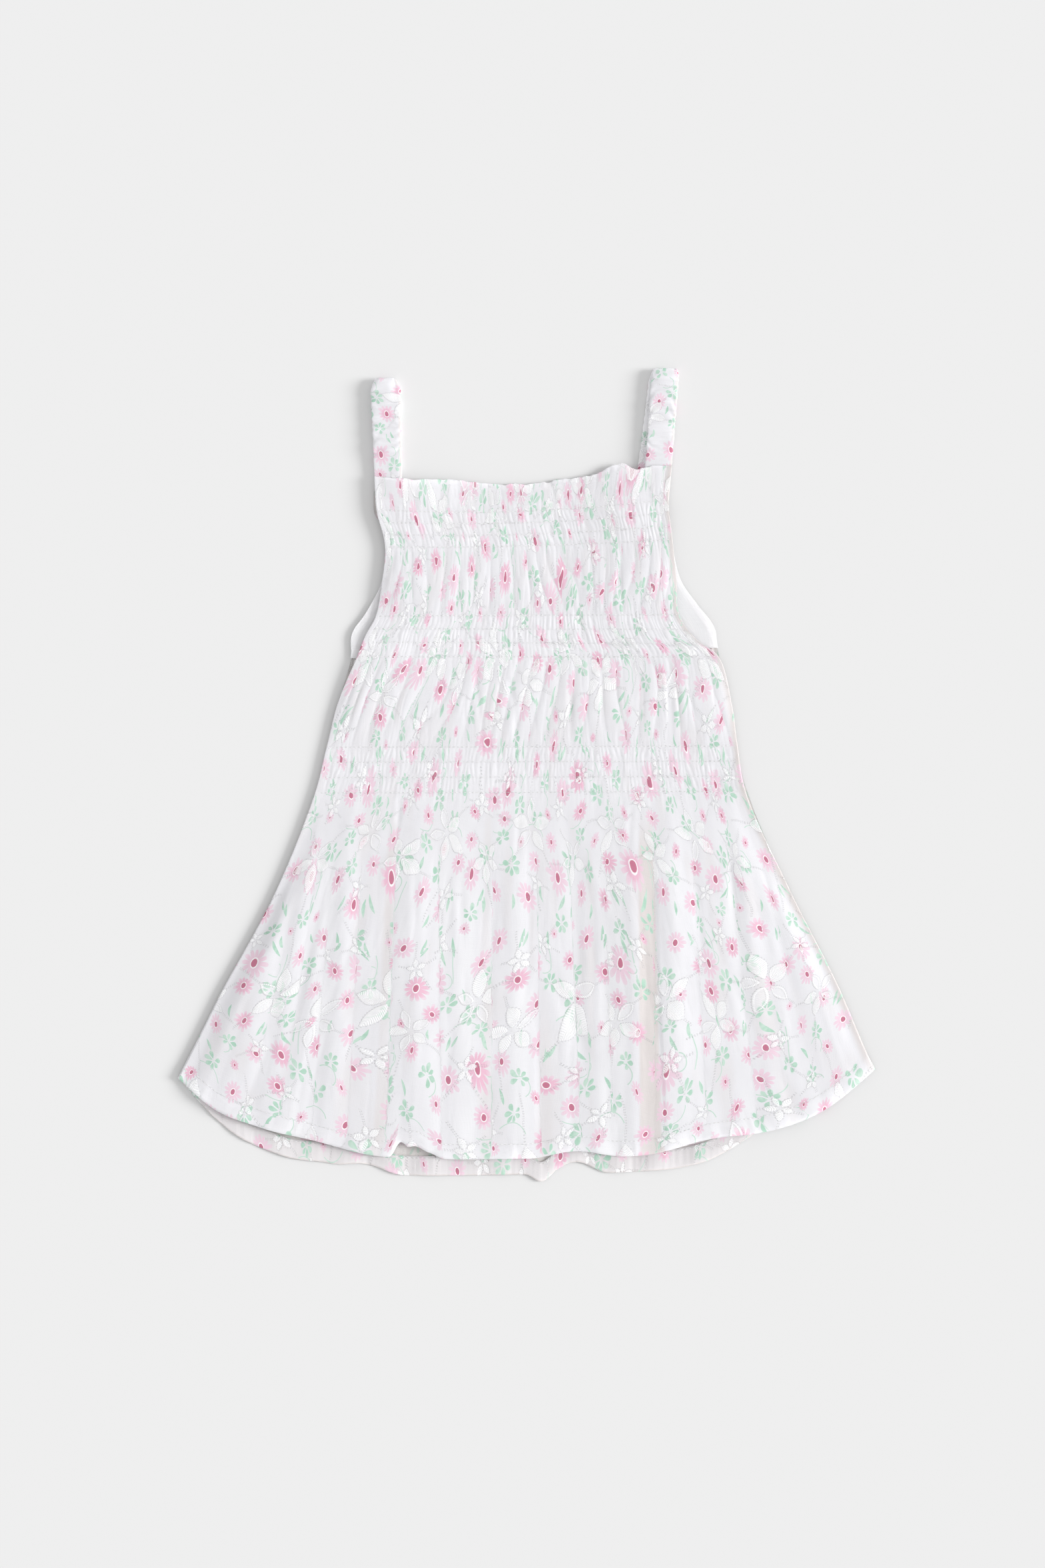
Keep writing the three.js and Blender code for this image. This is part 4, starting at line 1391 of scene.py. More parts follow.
@dataclass
class FrontPanel:
    """The front: frill, three elastic bands with puffs between them, and the flared skirt."""

    columns: int = 440
    lay: float = 0.45
    least_over: float = 0.5
    sheet_wall: float = 0.12
    row_pinch: float = 0.3
    row_power: float = 0.7
    pinch_reach: float = 1.2
    pucker_reach: float = 4.0
    pucker_softness: float = 0.6
    opening: float = 0.4
    raised: float = 0.86
    sharp_power: float = 0.8
    frill_folds: int = 17
    frill_dip: float = 1.1
    dip_between: Span = (EDGE_FLAT + 2, EDGE_FLAT + 16)
    dip_rows: float = 0.22
    frill_turn: float = 15.0
    frill_height: float = 0.3
    frill_foot: float = 0.15
    frill_power: float = 0.7
    frill_least: float = 0.75
    puff_lift: float = 0.4
    puff_height: float = 0.82
    plain_puff: float = 0.6
    puff_least: float = 0.35
    puff_more: float = 0.65
    crumple: float = 0.16
    crumples: int = 56
    crumple_length: float = 22.0
    crumple_valley: float = 0.16
    crease_share: float = 0.27
    ripple: float = 0.7
    mottle: float = 0.25
    skirt_rows: Span = (9, 10)
    hem_rows: Span = (11.8, 12.4)
    hidden_rows: Span = (9.2, 10.4)
    slope_gain: float = 1.3
    hidden_pucker: float = 0.45
    hidden_reach: float = 6.0
    hidden_soft: float = 0.3
    hidden_fold: float = 0.42
    hidden_skirt: float = 0.43
    turned_white: float = 0.1
    gathered_white: float = 0.05
    band_edge: float = 0.3
    strip_rows: Span = (9, 9.7)
    hem_step: float = 0.2
    hem_turn: float = 8.5
    side_roll: float = 0.35
    side_over: float = 0.05
    side_tuck: float = 0.25
    side_cloth: float = 0.6
    side_calm: Span = (-0.5, 5)
    side_level: float = 0.4
    # Painted shade along the right edge, where the cloth slopes toward the light, and its reach
    side_shade: float = 1.0
    shade_reach: Span = (0.5, 5)
    seed: int = 5

    def __post_init__(self) -> None:
        """Lay out the panel's plan."""
        self.panel = Panel(FRONT_LINES, FRONT_HEM_WAVES, FRILL_WAVES)
        self.noise = Noise(self.seed)

    def inside(self, x: Array, t: Array, raised: float = 0.0) -> Array:
        """Height of the inside where the front lies on what is under it.

        Args:
            x: Places across the page.
            t: Row numbers of the same shape.
            raised: How far the skirt's valleys are filled towards the crests beside them.

        Returns:
            The height of each point over the surface.
        """
        read = FRONT_LINES.between
        inward = self.panel.inward(x, t)
        shoulder = 1 - smooth(inward, EDGE_FLAT, EDGE_FLAT + EDGE_SLOPE)
        folds = self.skirt_folds(x, t, raised) + read("lift", t) + self.puff_lift * read("puff", t)
        return OVER_BACK + smooth(inward, 0, SEAM_EASE) * folds + shoulder * read("edgeLift", t)

    def skirt_folds(self, x: Array, t: Array, raised: float) -> Array:
        """Height of the big soft folds of the skirt, with their valleys raised.

        Args:
            x: Places across the page.
            t: Row numbers of the same shape.
            raised: How far the valleys are filled towards the crests beside them.

        Returns:
            The height of each point.
        """
        i, share, valleys = self.fold_at(x, t)
        heights = np.minimum(SKIRT_FOLDS.column("height")[:-1], STEEPEST_FOLD * np.diff(valleys))
        beside = np.clip(np.where(share < 0.5, i - 1, i + 1), 0, heights.shape[-1] - 1)
        height, beside = (np.take_along_axis(heights, k[..., None], -1)[..., 0] for k in (i, beside))
        level = height + (beside - height) * np.abs(share - 0.5)
        sharp = SKIRT_FOLDS.column("sharp")
        sharp = sharp[i] + (sharp[i + 1] - sharp[i]) * share
        shape = sharp * np.sin(np.pi * share) ** self.sharp_power + (1 - sharp) * ridges(share)
        return (height * shape * (1 - raised) + level * raised) * FRONT_LINES.between("fold", t)

    def trough(self, x: Array, y: Array) -> Array:
        """Find how much of the skirt's folds is left in the open trough.

        Args:
            x, y: Places on the page.

        Returns:
            The share left, 1 outside the trough.
        """
        down = TROUGH.column("y")[::-1]
        left, right, depth = (np.interp(y, down, TROUGH.column(name)[::-1])
                              for name in ("left", "right", "depth"))
        inside = smooth(x, left, left + TROUGH_EASE) * (1 - smooth(x, right, right + TROUGH_WALL))
        return 1 - inside * np.minimum(depth / TROUGH_DEPTH, 1)

    def band_spans(self, v: Union[Array, float]) -> Iterable[tuple]:
        """Find where the elastic bands are down the cloth.

        Args:
            v: Lengths of cloth from the top edge.

        Returns:
            For each band its number, its row, its two ends, and how far each v is outside it.
        """
        for k, band in enumerate(FRONT_BANDS.each()):
            top, low = self.panel.down(np.array([band["first"], band["last"]], float))
            yield k, band, top, low, np.maximum(np.maximum(top - v, v - low), 0)

    def fall(self, t: Array) -> Array:
        """Share of the way from the last band to the hem."""
        top = FRONT_BANDS.column("last")[-1]
        return np.clip((t - top) / (self.panel.last - top), 0, 1)

    def pucker_turns(self, band: int, turns: Array, v: Array) -> Array:
        """Count a band's puckers across, with their uneven spacing."""
        wander = wavering(self.noise, turns, v, height=0.7, often=0.5, length=14, start=31 * band)
        return turns + wander + wavering(self.noise, turns, v, height=0.3, often=1.3, length=6)

    def fold_turns(self, turns: Array, v: Array) -> Array:
        """Count the puffs' folds across, with their uneven spacing."""
        return turns + wavering(self.noise, turns, v, height=0.9, often=0.45, length=40, start=3)

    def hidden(self, cloth: Array, t: Array, x: Array) -> Array:
        """How far the print is moved across where some cloth is hidden in the valleys.

        Args:
            cloth, t: Places on the cloth.
            x: Places across the page.

        Returns:
            Millimetres on the flat cloth, with a jump at each valley.
        """
        v, width = self.panel.down(t), FRONT_LINES.between("print", t)
        moved = np.zeros_like(cloth)
        for k, band, _, _, away in self.band_spans(v):
            share = self.pucker_turns(k, cloth * band["count"], v) % 1
            taken = self.hidden_pucker * width / band["count"] * (0.5 - share)
            moved += taken * np.exp(-away / self.hidden_reach)
        folds, puffed = self.puffed(t)
        share = self.fold_turns(cloth * folds, v) % 1
        moved += self.hidden_fold * width / folds * (0.5 - share) * puffed
        i, share, valleys = self.fold_at(x, t)
        sharp = SKIRT_FOLDS.column("sharp")[:-1]
        taken = np.diff(valleys) * (self.hidden_soft + (1 - self.hidden_soft) * sharp)
        taken = np.concatenate([taken, np.zeros_like(taken[..., :1])], -1)
        here, there = (np.take_along_axis(taken, k[..., None], -1)[..., 0] for k in (i, i + 1))
        skirt = smooth(t, *self.hidden_rows) * width / self.panel.page_width(t)
        return moved + self.hidden_skirt * skirt * (here * (1 - share) - there * share) / 2

    def fold_at(self, x: Array, t: Array) -> tuple[Array, ...]:
        """Find the skirt fold at each place.

        Args:
            x: Places across the page.
            t: Row numbers of the same shape.

        Returns:
            The fold's number, the share of the way across it, and the x of all valleys there.
        """
        first, last = SKIRT_FOLDS.column("topX"), SKIRT_FOLDS.column("hemX")
        valleys = first + (last - first) * self.fall(t)[..., None]
        i = np.clip((valleys <= x[..., None]).sum(-1) - 1, 0, len(SKIRT_FOLDS) - 2)
        at = np.take_along_axis(valleys, i[..., None], -1)[..., 0]
        width = np.take_along_axis(valleys, i[..., None] + 1, -1)[..., 0] - at
        return i, np.clip((x - at) / width, 0, 1), valleys

    def puffed(self, t: Array) -> tuple[Array, Array]:
        """Find how the puffed parts are at each row.

        Args:
            t: Row numbers.

        Returns:
            The number of folds across, and the share of their full height.
        """
        first, second = PUFFS.column("folds")
        rise = (FRONT_LINES.between("puff", t) / FULL_PUFF) ** PUFF_POWER
        return np.where(t < PUFF_PARTING, first, second), rise

    def puckers(self, cloth: Array, t: Array) -> Array:
        """Height of the fine puckers in the bands and of the folds they open into.

        Args:
            cloth, t: Places on the cloth.

        Returns:
            The height of each point.
        """
        v, noise, height = self.panel.down(t), self.noise, np.zeros_like(cloth)
        for k, band, top, low, away in self.band_spans(v):
            turns = cloth * band["count"]
            rows = (v - top) / (low - top) * (STITCHED_ROWS - 1)
            between = np.abs(np.sin(rows * np.pi)) ** self.row_power
            pinch = self.row_pinch + (1 - self.row_pinch) * between
            opened = 1 - (1 - self.row_pinch) * np.exp(-away / self.pinch_reach)
            pinch = np.where(away > 0, opened, pinch)
            pucker = creased(self.pucker_turns(k, turns, v), self.pucker_softness)
            heights = uneven(noise, turns * 0.6 + 90, v / 5)
            height += band["height"] * pinch * heights * pucker * np.exp(-away / self.pucker_reach)
            for fold in OPENED_FOLDS.each():
                broad, reach = turns / fold["puckers"], fold["reach"]
                phase = broad + wavering(noise, broad, v, height=0.9, often=0.5, length=30, start=7 * k)
                opened = np.exp(-away / reach) * (1 - np.exp(-away / (self.opening * reach)))
                heights = uneven(noise, broad * 0.6 + 50, v / 14)
                height += fold["height"] * opened * heights * leaning(phase, noise)
        return height

    def puffs(self, cloth: Array, t: Array) -> Array:
        """Height of the broad folds in the puffed parts and the frill.

        Args:
            cloth, t: Places on the cloth.

        Returns:
            The height of each point.
        """
        v, noise = self.panel.down(t), self.noise
        folds, rise = self.puffed(t)
        phase = self.fold_turns(cloth * folds, v)
        height = self.puff_height * rise * (self.puff_least + self.puff_more * leaning(phase, noise))
        crumples = valleys(noise, cloth * self.crumples, v / self.crumple_length, self.crumple_valley)
        height += self.crumple * rise * crumples
        share = np.clip(1 - t, 0, 1)
        turns = cloth * self.frill_folds
        phase = turns + wavering(noise, turns, v, height=0.9, often=0.5, length=30, start=11)
        frill = (self.frill_foot + share ** self.frill_power) * (share > 0) * leaning(phase, noise)
        heights = self.frill_least + wavering(noise, cloth, v, height=0.25, often=19, length=14, start=5)
        return height + self.frill_height * frill * heights

    def creases(self, x: Array, y: Array) -> Array:
        """Depth of the creases laid by hand, less the soft ridge beside each.

        Args:
            x, y: Places on the page.

        Returns:
            The depth at each place.
        """
        depth = np.zeros_like(x)
        for line in CREASES.each():
            start = np.array([line["fromX"], line["fromY"]])
            way = np.array([line["toX"], line["toY"]]) - start
            length = np.linalg.norm(way)
            way = way / length
            dx, dy = x - start[0], y - start[1]
            share = np.clip((dx * way[0] + dy * way[1]) / length, 0, 1)
            side = (dx * way[1] - dy * way[0]) / line["width"]
            taper = np.sin(np.pi * share) ** CREASE_TAPER
            ridge = RIDGE_SHARE * np.exp(-(side - RIDGE_AWAY) ** 2 / RIDGE_SPREAD)
            groove = np.exp(-side ** 2) - ridge
            depth += self.crease_share * line["depth"] * taper * groove
        return depth

    def tones(self, cloth: Array, t: Array, x: Array) -> Array:
        """Find the tone painted on the front: double thickness, painted light and painted shade.

        Args:
            cloth, t: Places on the cloth.
            x: Places across the page.

        Returns:
            1 for double thickness and painted highlight, down to -1 for painted shade, deepest in a
            fold.
        """
        v, noise, fall = self.panel.down(t), self.noise, self.fall(t)
        shown = np.zeros_like(x)
        # Painted highlight with the double thickness on fold crests, and painted shade in the folds
        for strip in STRIPS.each():
            middle = strip["topX"] + (strip["hemX"] - strip["topX"]) * fall
            half = strip["width"] * (1 + fall) / 4
            within = smooth(half - np.abs(x - middle), -strip["edge"], strip["edge"])
            shown += STRIP_TONE * strip["white"] * within
        shown = shown * smooth(t, *self.strip_rows)
        shown = shown + wavering(noise, cloth, v, height=self.mottle, often=44, length=26)
        turned = self.panel.run[-1] - v < self.hem_turn
        gathered = np.zeros_like(x)
        for band in FRONT_BANDS.each():
            begun = smooth(t, band["first"] - self.band_edge, band["first"])
            gathered += begun * (1 - smooth(t, band["last"], band["last"] + self.band_edge))
        shown = shown + self.turned_white * turned + self.gathered_white * gathered
        # Painted shade along the right edge, where the cloth slopes toward the light
        right = self.panel.right.at(t / self.panel.last)[..., 0]
        shaded = self.side_shade * (1 - smooth(right - x, *self.shade_reach))
        return np.clip(shown - shaded, -1, 1)

    def surface(self, cloth: Array, t: Array, fine: bool = True) -> Array:
        """Points of the front's face.

        Args:
            cloth, t: Places on the cloth.
            fine: Whether puckers, creases and rumples are raised too.

        Returns:
            The points, in an array that ends in x, y and z.
        """
        x, y = self.panel.plan(cloth, t)
        ripple = sum(row["share"] * self.noise.at(x / row["width"], row["row"])
                     for row in FRILL_RIPPLES.each())
        y = y + self.ripple * ripple * np.clip(1 - t, 0, 1) ** 2
        inward = self.panel.inward(x, t)
        floor = OVER_BACK + self.lay
        kept = self.trough(x, y)
        z = floor + (self.inside(x, t, self.raised) + self.lay - floor) * kept
        calm = smooth(inward, *self.side_calm)
        if fine:
            relief = self.puckers(cloth, t) + self.puffs(cloth, t) + self.rumples(cloth, t)
            relief = self.side_level + calm * (relief - self.creases(x, y) - self.side_level)
            z = z + kept * relief
        else:
            z = z + calm * self.plain_puff * self.puffs(cloth, t)
        z = z + self.hem_step * (t > self.panel.last - 1)
        lowest = self.inside(x, t) * kept + floor * (1 - kept) - self.lay + self.least_over
        return np.stack([x, y, np.maximum(z, lowest) - self.dip(inward, t)], -1)

    def rumples(self, cloth: Array, t: Array) -> Array:
        """Height of the rumples and drawn creases of the skirt, and of the hem's small waves.

        Args:
            cloth, t: Places on the cloth.

        Returns:
            The height of each point.
        """
        v, noise = self.panel.down(t), self.noise
        rumple = sum(wavering(noise, cloth, v, **row) for row in RUMPLES.each())
        drawn = sum(row["height"] * valleys(noise, cloth * row["across"] + row["start"],
                                            v / row["length"], row["valley"])
                    for row in DRAWN_CREASES.each())
        hem = sum(row["height"] * noise.at(cloth * row["across"], row["row"])
                  for row in HEM_RUMPLES.each())
        return smooth(t, *self.skirt_rows) * (rumple + drawn) + smooth(t, *self.hem_rows) * hem

    def dip(self, inward: Array, t: Array) -> Array:
        """How far the frill hangs down over the back's edge, between the straps."""
        return self.frill_dip * smooth(inward, *self.dip_between) * (1 - smooth(t, 0, self.dip_rows))

    def build(self) -> ClothMesh:
        """Make the face and the edges turned under it: frill, hem and sides.

        Returns:
            The mesh.
        """
        numbers = self.panel.row_numbers()
        t, cloth = np.meshgrid(numbers, np.linspace(0, 1, self.columns + 1), indexing="ij")
        face = self.surface(cloth, t)
        x = face[..., 0]
        flat = flat_places(self.panel, self.surface(cloth, t, False), cloth, t, self.slope_gain,
                           self.noise, self.hidden(cloth, t, x))
        under = self.inside(x, t) + self.sheet_wall - self.dip(self.panel.inward(x, t), t)
        rows, places = self._turned(face, flat, under, numbers)
        points = np.concatenate([rows[0], face, rows[1]])
        flats = np.concatenate([places[0], flat, places[1]])
        low = np.maximum(points[:, [0, -1], 2] - self.side_roll, OVER_BACK + self.side_over)
        left, right = points[:, :1].copy(), points[:, -1:].copy()
        left[:, 0, 2], right[:, 0, 2] = low[:, 0], low[:, 1]
        left[:, 0, 0] += self.side_tuck
        right[:, 0, 0] -= self.side_tuck
        roll = np.array([self.side_cloth, 0])
        points = np.concatenate([left, points, right], axis=1)
        flats = np.concatenate([flats[:, :1] - roll, flats, flats[:, -1:] + roll], axis=1)
        # Painted light and shade for each point, with the whiter turned hem and bands
        shown = self.tones(cloth, t, x)
        shown = np.pad(shown, ((len(rows[0]), len(rows[1])), (1, 1)), mode="edge")
        return ClothMesh("front_cloth", points, flats, shown)

    def _turned(self, face: Array, flat: Array, under: Array,
                numbers: Array) -> tuple[list, list]:
        """Turn the frill's fold and the hem under the face.

        Args:
            face: Points of the face.
            flat: Their places on the flat cloth.
            under: The lowest height under each point.
            numbers: Row numbers of the face.

        Returns:
            The rows of points above the face and below it, and their places on the flat cloth.
        """
        down, rows, places = self.panel.down(numbers), [], []
        behind = int(np.argmin(np.abs(down - self.frill_turn)))
        ahead = int(np.argmin(np.abs(self.panel.run[-1] - down - self.hem_turn)))
        for edge, far, way, depth in ((0, behind, 1, self.frill_turn), (-1, ahead, -1, self.hem_turn)):
            top, base = face[edge], under[edge]
            steps, laid = [], []
            for turned in TURNED_UNDER.each():
                row = top.copy()
                row[:, 1] += way * turned["out"]
                row[:, 2] = base + (top[:, 2] - base) * turned["share"]
                steps.append(row)
                laid.append(flat[edge] + np.array([0, way * turned["gone"]]))
            last = face[far].copy()
            last[:, 2] = np.minimum(under[far], face[far][:, 2] - SEAM_GAP)
            steps.append(last)
            laid.append(flat[edge] + np.array([0, way * depth]))
            order = slice(None, None, -way)
            rows.append(np.stack(steps[order]))
            places.append(np.stack(laid[order]))
        return rows, places


# The back's hem, turned up onto its inside: how far up the page and above the fold each row is,
# the cloth used from the fold, and its painted shade under the front's hem, deepest at the fold
# as a painted contact shadow
BACK_HEM_TURN = 11.5
BACK_HEM_ROWS = Table(
    "out up gone tone", (-0.3, 0.2, 0.4, -1), (-0.1, 0.42, 0.8, -1), (1, 0.5, 1.6, -0.5),
    (5, 0.42, 5.4, -0.5), (BACK_HEM_TURN, 0.36, BACK_HEM_TURN, -0.5))


@dataclass
class BackPanel:
    """The back, inside up, whose turned hem shows its right side below the front."""

    columns: int = 330
    puckers: int = 108
    rest: float = 0.1
    relief: float = 1.35
    row_pitch: float = 6.4
    row_least: float = 0.7
    row_more: float = 0.3
    broad_folds: int = 15
    broad_share: float = 0.7
    softness: float = 0.6
    hem_folds: int = 18
    hem_height: float = 0.7
    side_calm: Span = (-0.5, 4)
    side_level: float = 0.4
    seed: int = 9

    def __post_init__(self) -> None:
        """Lay out the panel's plan."""
        self.panel = Panel(BACK_LINES, BACK_HEM_WAVES)
        self.noise = Noise(self.seed)

    def surface(self, cloth: Array, t: Array) -> Array:
        """Points of the back, from the surface up to the height of its solid.

        Args:
            cloth, t: Places on the cloth.

        Returns:
            The points, in an array that ends in x, y and z.
        """
        x, y = self.panel.plan(cloth, t)
        v, noise = self.panel.down(t), self.noise
        drawn = BACK_LINES.between("pucker", t)
        turns = cloth * self.puckers
        phase = turns + 0.5 * noise.at(turns * 0.5, v / 15)
        row = self.row_least + self.row_more * np.abs(np.sin(v * np.pi / self.row_pitch))
        fine = ridges(phase) * (0.8 + 0.2 * noise.at(turns * 0.4 + 40, v / 8)) * row
        broad = creased(cloth * self.broad_folds + 0.6 * noise.at(cloth * 9, v / 40), self.softness)
        z = self.rest + self.relief * (drawn * fine + (1 - drawn) * self.broad_share * broad)
        near = np.clip(t - (self.panel.last - 1), 0, 1)
        z = z + self.hem_height * near * ridges(cloth * self.hem_folds) * np.sin(np.pi * cloth)
        calm, level = smooth(self.panel.inward(x, t), *self.side_calm), self.rest + self.side_level
        return np.stack([x, y, level + (z - level) * calm], -1)

    def build(self) -> ClothMesh:
        """Make the sheet, and its hem turned up onto the inside.

        Returns:
            The mesh.
        """
        numbers = self.panel.row_numbers()
        t, cloth = np.meshgrid(numbers, np.linspace(0, 1, self.columns + 1), indexing="ij")
        points = self.surface(cloth, t)
        flat = flat_places(self.panel, points, cloth, t, 0, self.noise)
        edge, laid = points[-1], flat[-1]
        rows, places = [points], [flat]
        for turned in BACK_HEM_ROWS.each():
            rows.append((edge + np.array([0, turned["out"], turned["up"]]))[None])
            places.append((laid - np.array([0, turned["gone"]]))[None])
        # Painted shade over the turned hem rows
        shown = np.concatenate([np.zeros(len(numbers)), BACK_HEM_ROWS.column("tone")])
        return ClothMesh("back_cloth", np.concatenate(rows), np.concatenate(places), shown[:, None])


@dataclass
class ArmholeFacing:
    """A plain strip sewn along one armhole edge of the back, its long edges turned under."""

    side: str
    back: Panel
    width: float = 18.0
    first: float = 2.0
    last: float = 6.0
    rows: int = 60
    across: int = 16
    turn: float = 5.0
    fold: float = 0.3
    fold_share: float = 0.012
    folded: tuple[float, ...] = (0.05, 0.05, 0.12)
    lift: float = 0.2
    wrinkle: float = 0.1
    overhang: float = 0.4
    seed: int = 21

    def build(self) -> ClothMesh:
        """Make the strip on the back's edge curve.

        Returns:
            The mesh.
        """
        way = 1 if self.side == "left" else -1
        curve = self.back.left if way > 0 else self.back.right
        t = np.linspace(self.first, self.last, self.rows + 1)
        edge = curve.at(t / self.back.last)
        share = np.linspace(0, 1, self.across + 1)
        share[1], share[-2] = self.fold_share, 1 - self.fold_share
        under = np.array([self.turn, self.fold, 0])
        inset = np.concatenate([under, share * (self.width - self.fold) + self.fold / 2,
                                (self.width - under)[::-1]])
        lift = np.concatenate([self.folded, np.full(len(share), self.lift), self.folded[::-1]])
        x = edge[:, :1] + way * (inset[None] - self.overhang)
        y = np.repeat(edge[:, 1:2], len(inset), 1)
        wrinkle = Noise(self.seed).at(inset[None] / 5, y / 9)
        z = OVER_BACK + lift[None] + self.wrinkle * wrinkle * (lift[None] == self.lift)
        points = np.stack([x, y, z], -1)
        laid = np.concatenate([-under, share * self.width, (self.width + under)[::-1]])
        flat = np.stack([np.repeat(way * laid[None], len(t), 0), y], -1)
        if way < 0:
            points, flat = points[:, ::-1], flat[:, ::-1]
        return ClothMesh(f"facing_{self.side}_cloth", points, flat)


# The ruches of a strap, broad and fine: their pitch, their slant, how far and over what length
# and width they wander, and where the noise starts
RUCHES = Table(
    "pitch slant wander long wide start", (7.2, 0.55, 1.3, 15, 0.8, 0), (3.1, -0.4, 1.1, 8, 1.4, 30))


@dataclass
class ShoulderStrap:
    """A strap: a tube ruched on elastic, up from the back, folded over and down the front."""

    side: str
    top_x: float
    foot_x: float
    back_shift: float
    top_y: float
    top_width: float
    foot_width: float
    rounding: float
    print_at: Span
    seed: int
    foot_y: float = 163.0
    round_reach: float = 8.0
    round_power: float = 2.2
    free: Span = (186, 196)
    apart: Span = (188, 196)
    turn_steps: int = 13
    flat_across: float = 0.34
    flat_outward: float = 0.26
    thinner: float = 0.96
    back_return: float = 0.85
    edge_notch: float = 0.08
    edge_pitch: float = 6.1
    squeeze: float = 0.35
    print_scale: float = 1.45
    wall: float = 2.0
    turn_gap: float = 0.5
    station: float = 0.8
    around: int = 44
    ruching: float = 1.2
    ruche: float = 0.95
    fine_ruche: float = 0.5
    crown: float = 0.12
    # Where across the front half painted shade darkens its right side, which faces the light
    shaded: Span = (0.72, 0.97)

    def path(self) -> tuple[Array, ...]:
        """Walk along the strap, from the foot of its back half over the fold to the front.

        Returns:
            y, z, the wall there, the way its outside faces in radians, and the share of the
            half behind.
        """
        turn_y = self.top_y - self.wall - self.turn_gap / 2
        turn_z = self.wall + self.turn_gap / 2
        radius = (self.turn_gap + self.wall) / 2
        y = np.arange(self.foot_y, turn_y, self.station)
        lift = STRAP_HEIGHTS.column("lift").astype(float)
        at = STRAP_HEIGHTS.column("y")
        wall = np.interp(y, at, STRAP_HEIGHTS.column("wall"))
        low = np.interp(y, at, lift)
        gap = SEAM_GAP + (self.turn_gap - SEAM_GAP) * smooth(y, *self.apart)
        angle = np.linspace(-90, 90, self.turn_steps)[1:-1] * np.pi / 180
        ys = np.concatenate([y, turn_y + radius * np.cos(angle), y[::-1]])
        zs = np.concatenate([low + wall / 2, turn_z + radius * np.sin(angle),
                             (low + 1.5 * wall + gap)[::-1]])
        walls = np.concatenate([wall, np.full(len(angle), self.wall), wall[::-1]])
        faces = np.concatenate([np.full(len(y), -90.0), np.degrees(angle), np.full(len(y), 90.0)])
        half = np.concatenate([np.ones(len(y)), np.linspace(1, 0, len(angle)), np.zeros(len(y))])
        return ys, zs, walls, np.radians(faces), half

    def build(self) -> ClothMesh:
        """Make the tube, open along the seam in its inner side.

        Returns:
            The mesh.
        """
        y, z, wall, facing, half = self.path()
        up = np.clip((y - self.foot_y) / (self.top_y - self.foot_y), 0, 1)
        aside = half * self.back_shift * (1 - self.back_return * up)
        middle = self.foot_x + (self.top_x - self.foot_x) * up + aside
        width = self.foot_width + (self.top_width - self.foot_width) * np.sqrt(up)
        run = np.concatenate([[0], np.cumsum(np.hypot(np.diff(y), np.diff(z)))])
        noise = Noise(self.seed)
        ring = np.linspace(-math.pi, math.pi, self.around + 1)
        cos, sin = np.cos(ring), np.sin(ring)
        across = np.sign(sin) * np.abs(sin) ** self.flat_across
        outward = np.sign(cos) * np.abs(cos) ** self.flat_outward
        s, a = run[:, None], across[None]
        free = smooth(y, *self.free)[:, None] * (wall[:, None] / self.wall)
        skew, fine = (row["wander"] * noise.at(s / row["long"] + row["start"], a * row["wide"])
                      + s / row["pitch"] + row["slant"] * a for row in RUCHES.each())
        strength = 0.5 + 0.5 * noise.at(s / 17 + 70, a * 0.7)
        swell = self.ruche * strength * creased(skew, 0.6) + self.fine_ruche * creased(fine, 0.7)
        topside = np.maximum(outward, 0)[None] * smooth(np.sin(facing), -0.3, 0.5)[:, None]
        notches = s / self.edge_pitch + 0.7 * np.sign(a) + noise.at(s / 9, 2.0)
        edge = 1 - self.edge_notch * (1 - creased(notches, 0.6)) * free
        height = wall[:, None] / 2 * outward[None] * self.thinner
        height = height + free * topside * (swell + self.crown * (1 - a ** 2))
        normal_y, normal_z = np.cos(facing)[:, None], np.sin(facing)[:, None]
        near_top = np.clip(1 - (self.top_y - y) / self.round_reach, 0, 1)
        narrow = 1 - self.rounding * near_top[:, None] ** self.round_power
        x = middle[:, None] + a * width[:, None] / 2 * edge * narrow
        points = np.stack([x, y[:, None] + height * normal_y, z[:, None] + height * normal_z], -1)
        steps = np.hypot(np.diff(across) * width.mean() / 2, np.diff(outward) * wall.mean() / 2)
        around = np.concatenate([[0], np.cumsum(steps)]) - steps.sum() / 2
        squeeze = s * self.ruching + self.squeeze * np.sin(2 * np.pi * skew)
        flat = np.stack(np.broadcast_arrays(around[None], -squeeze), -1) * self.print_scale
        # Painted light over the half behind, in the front half's shadow, and painted shade on the front
        # half's right side
        shown = half[:, None] - smooth(a, *self.shaded) * (1 - half[:, None])
        return ClothMesh(f"strap_{self.side}_cloth", points, flat, shown)


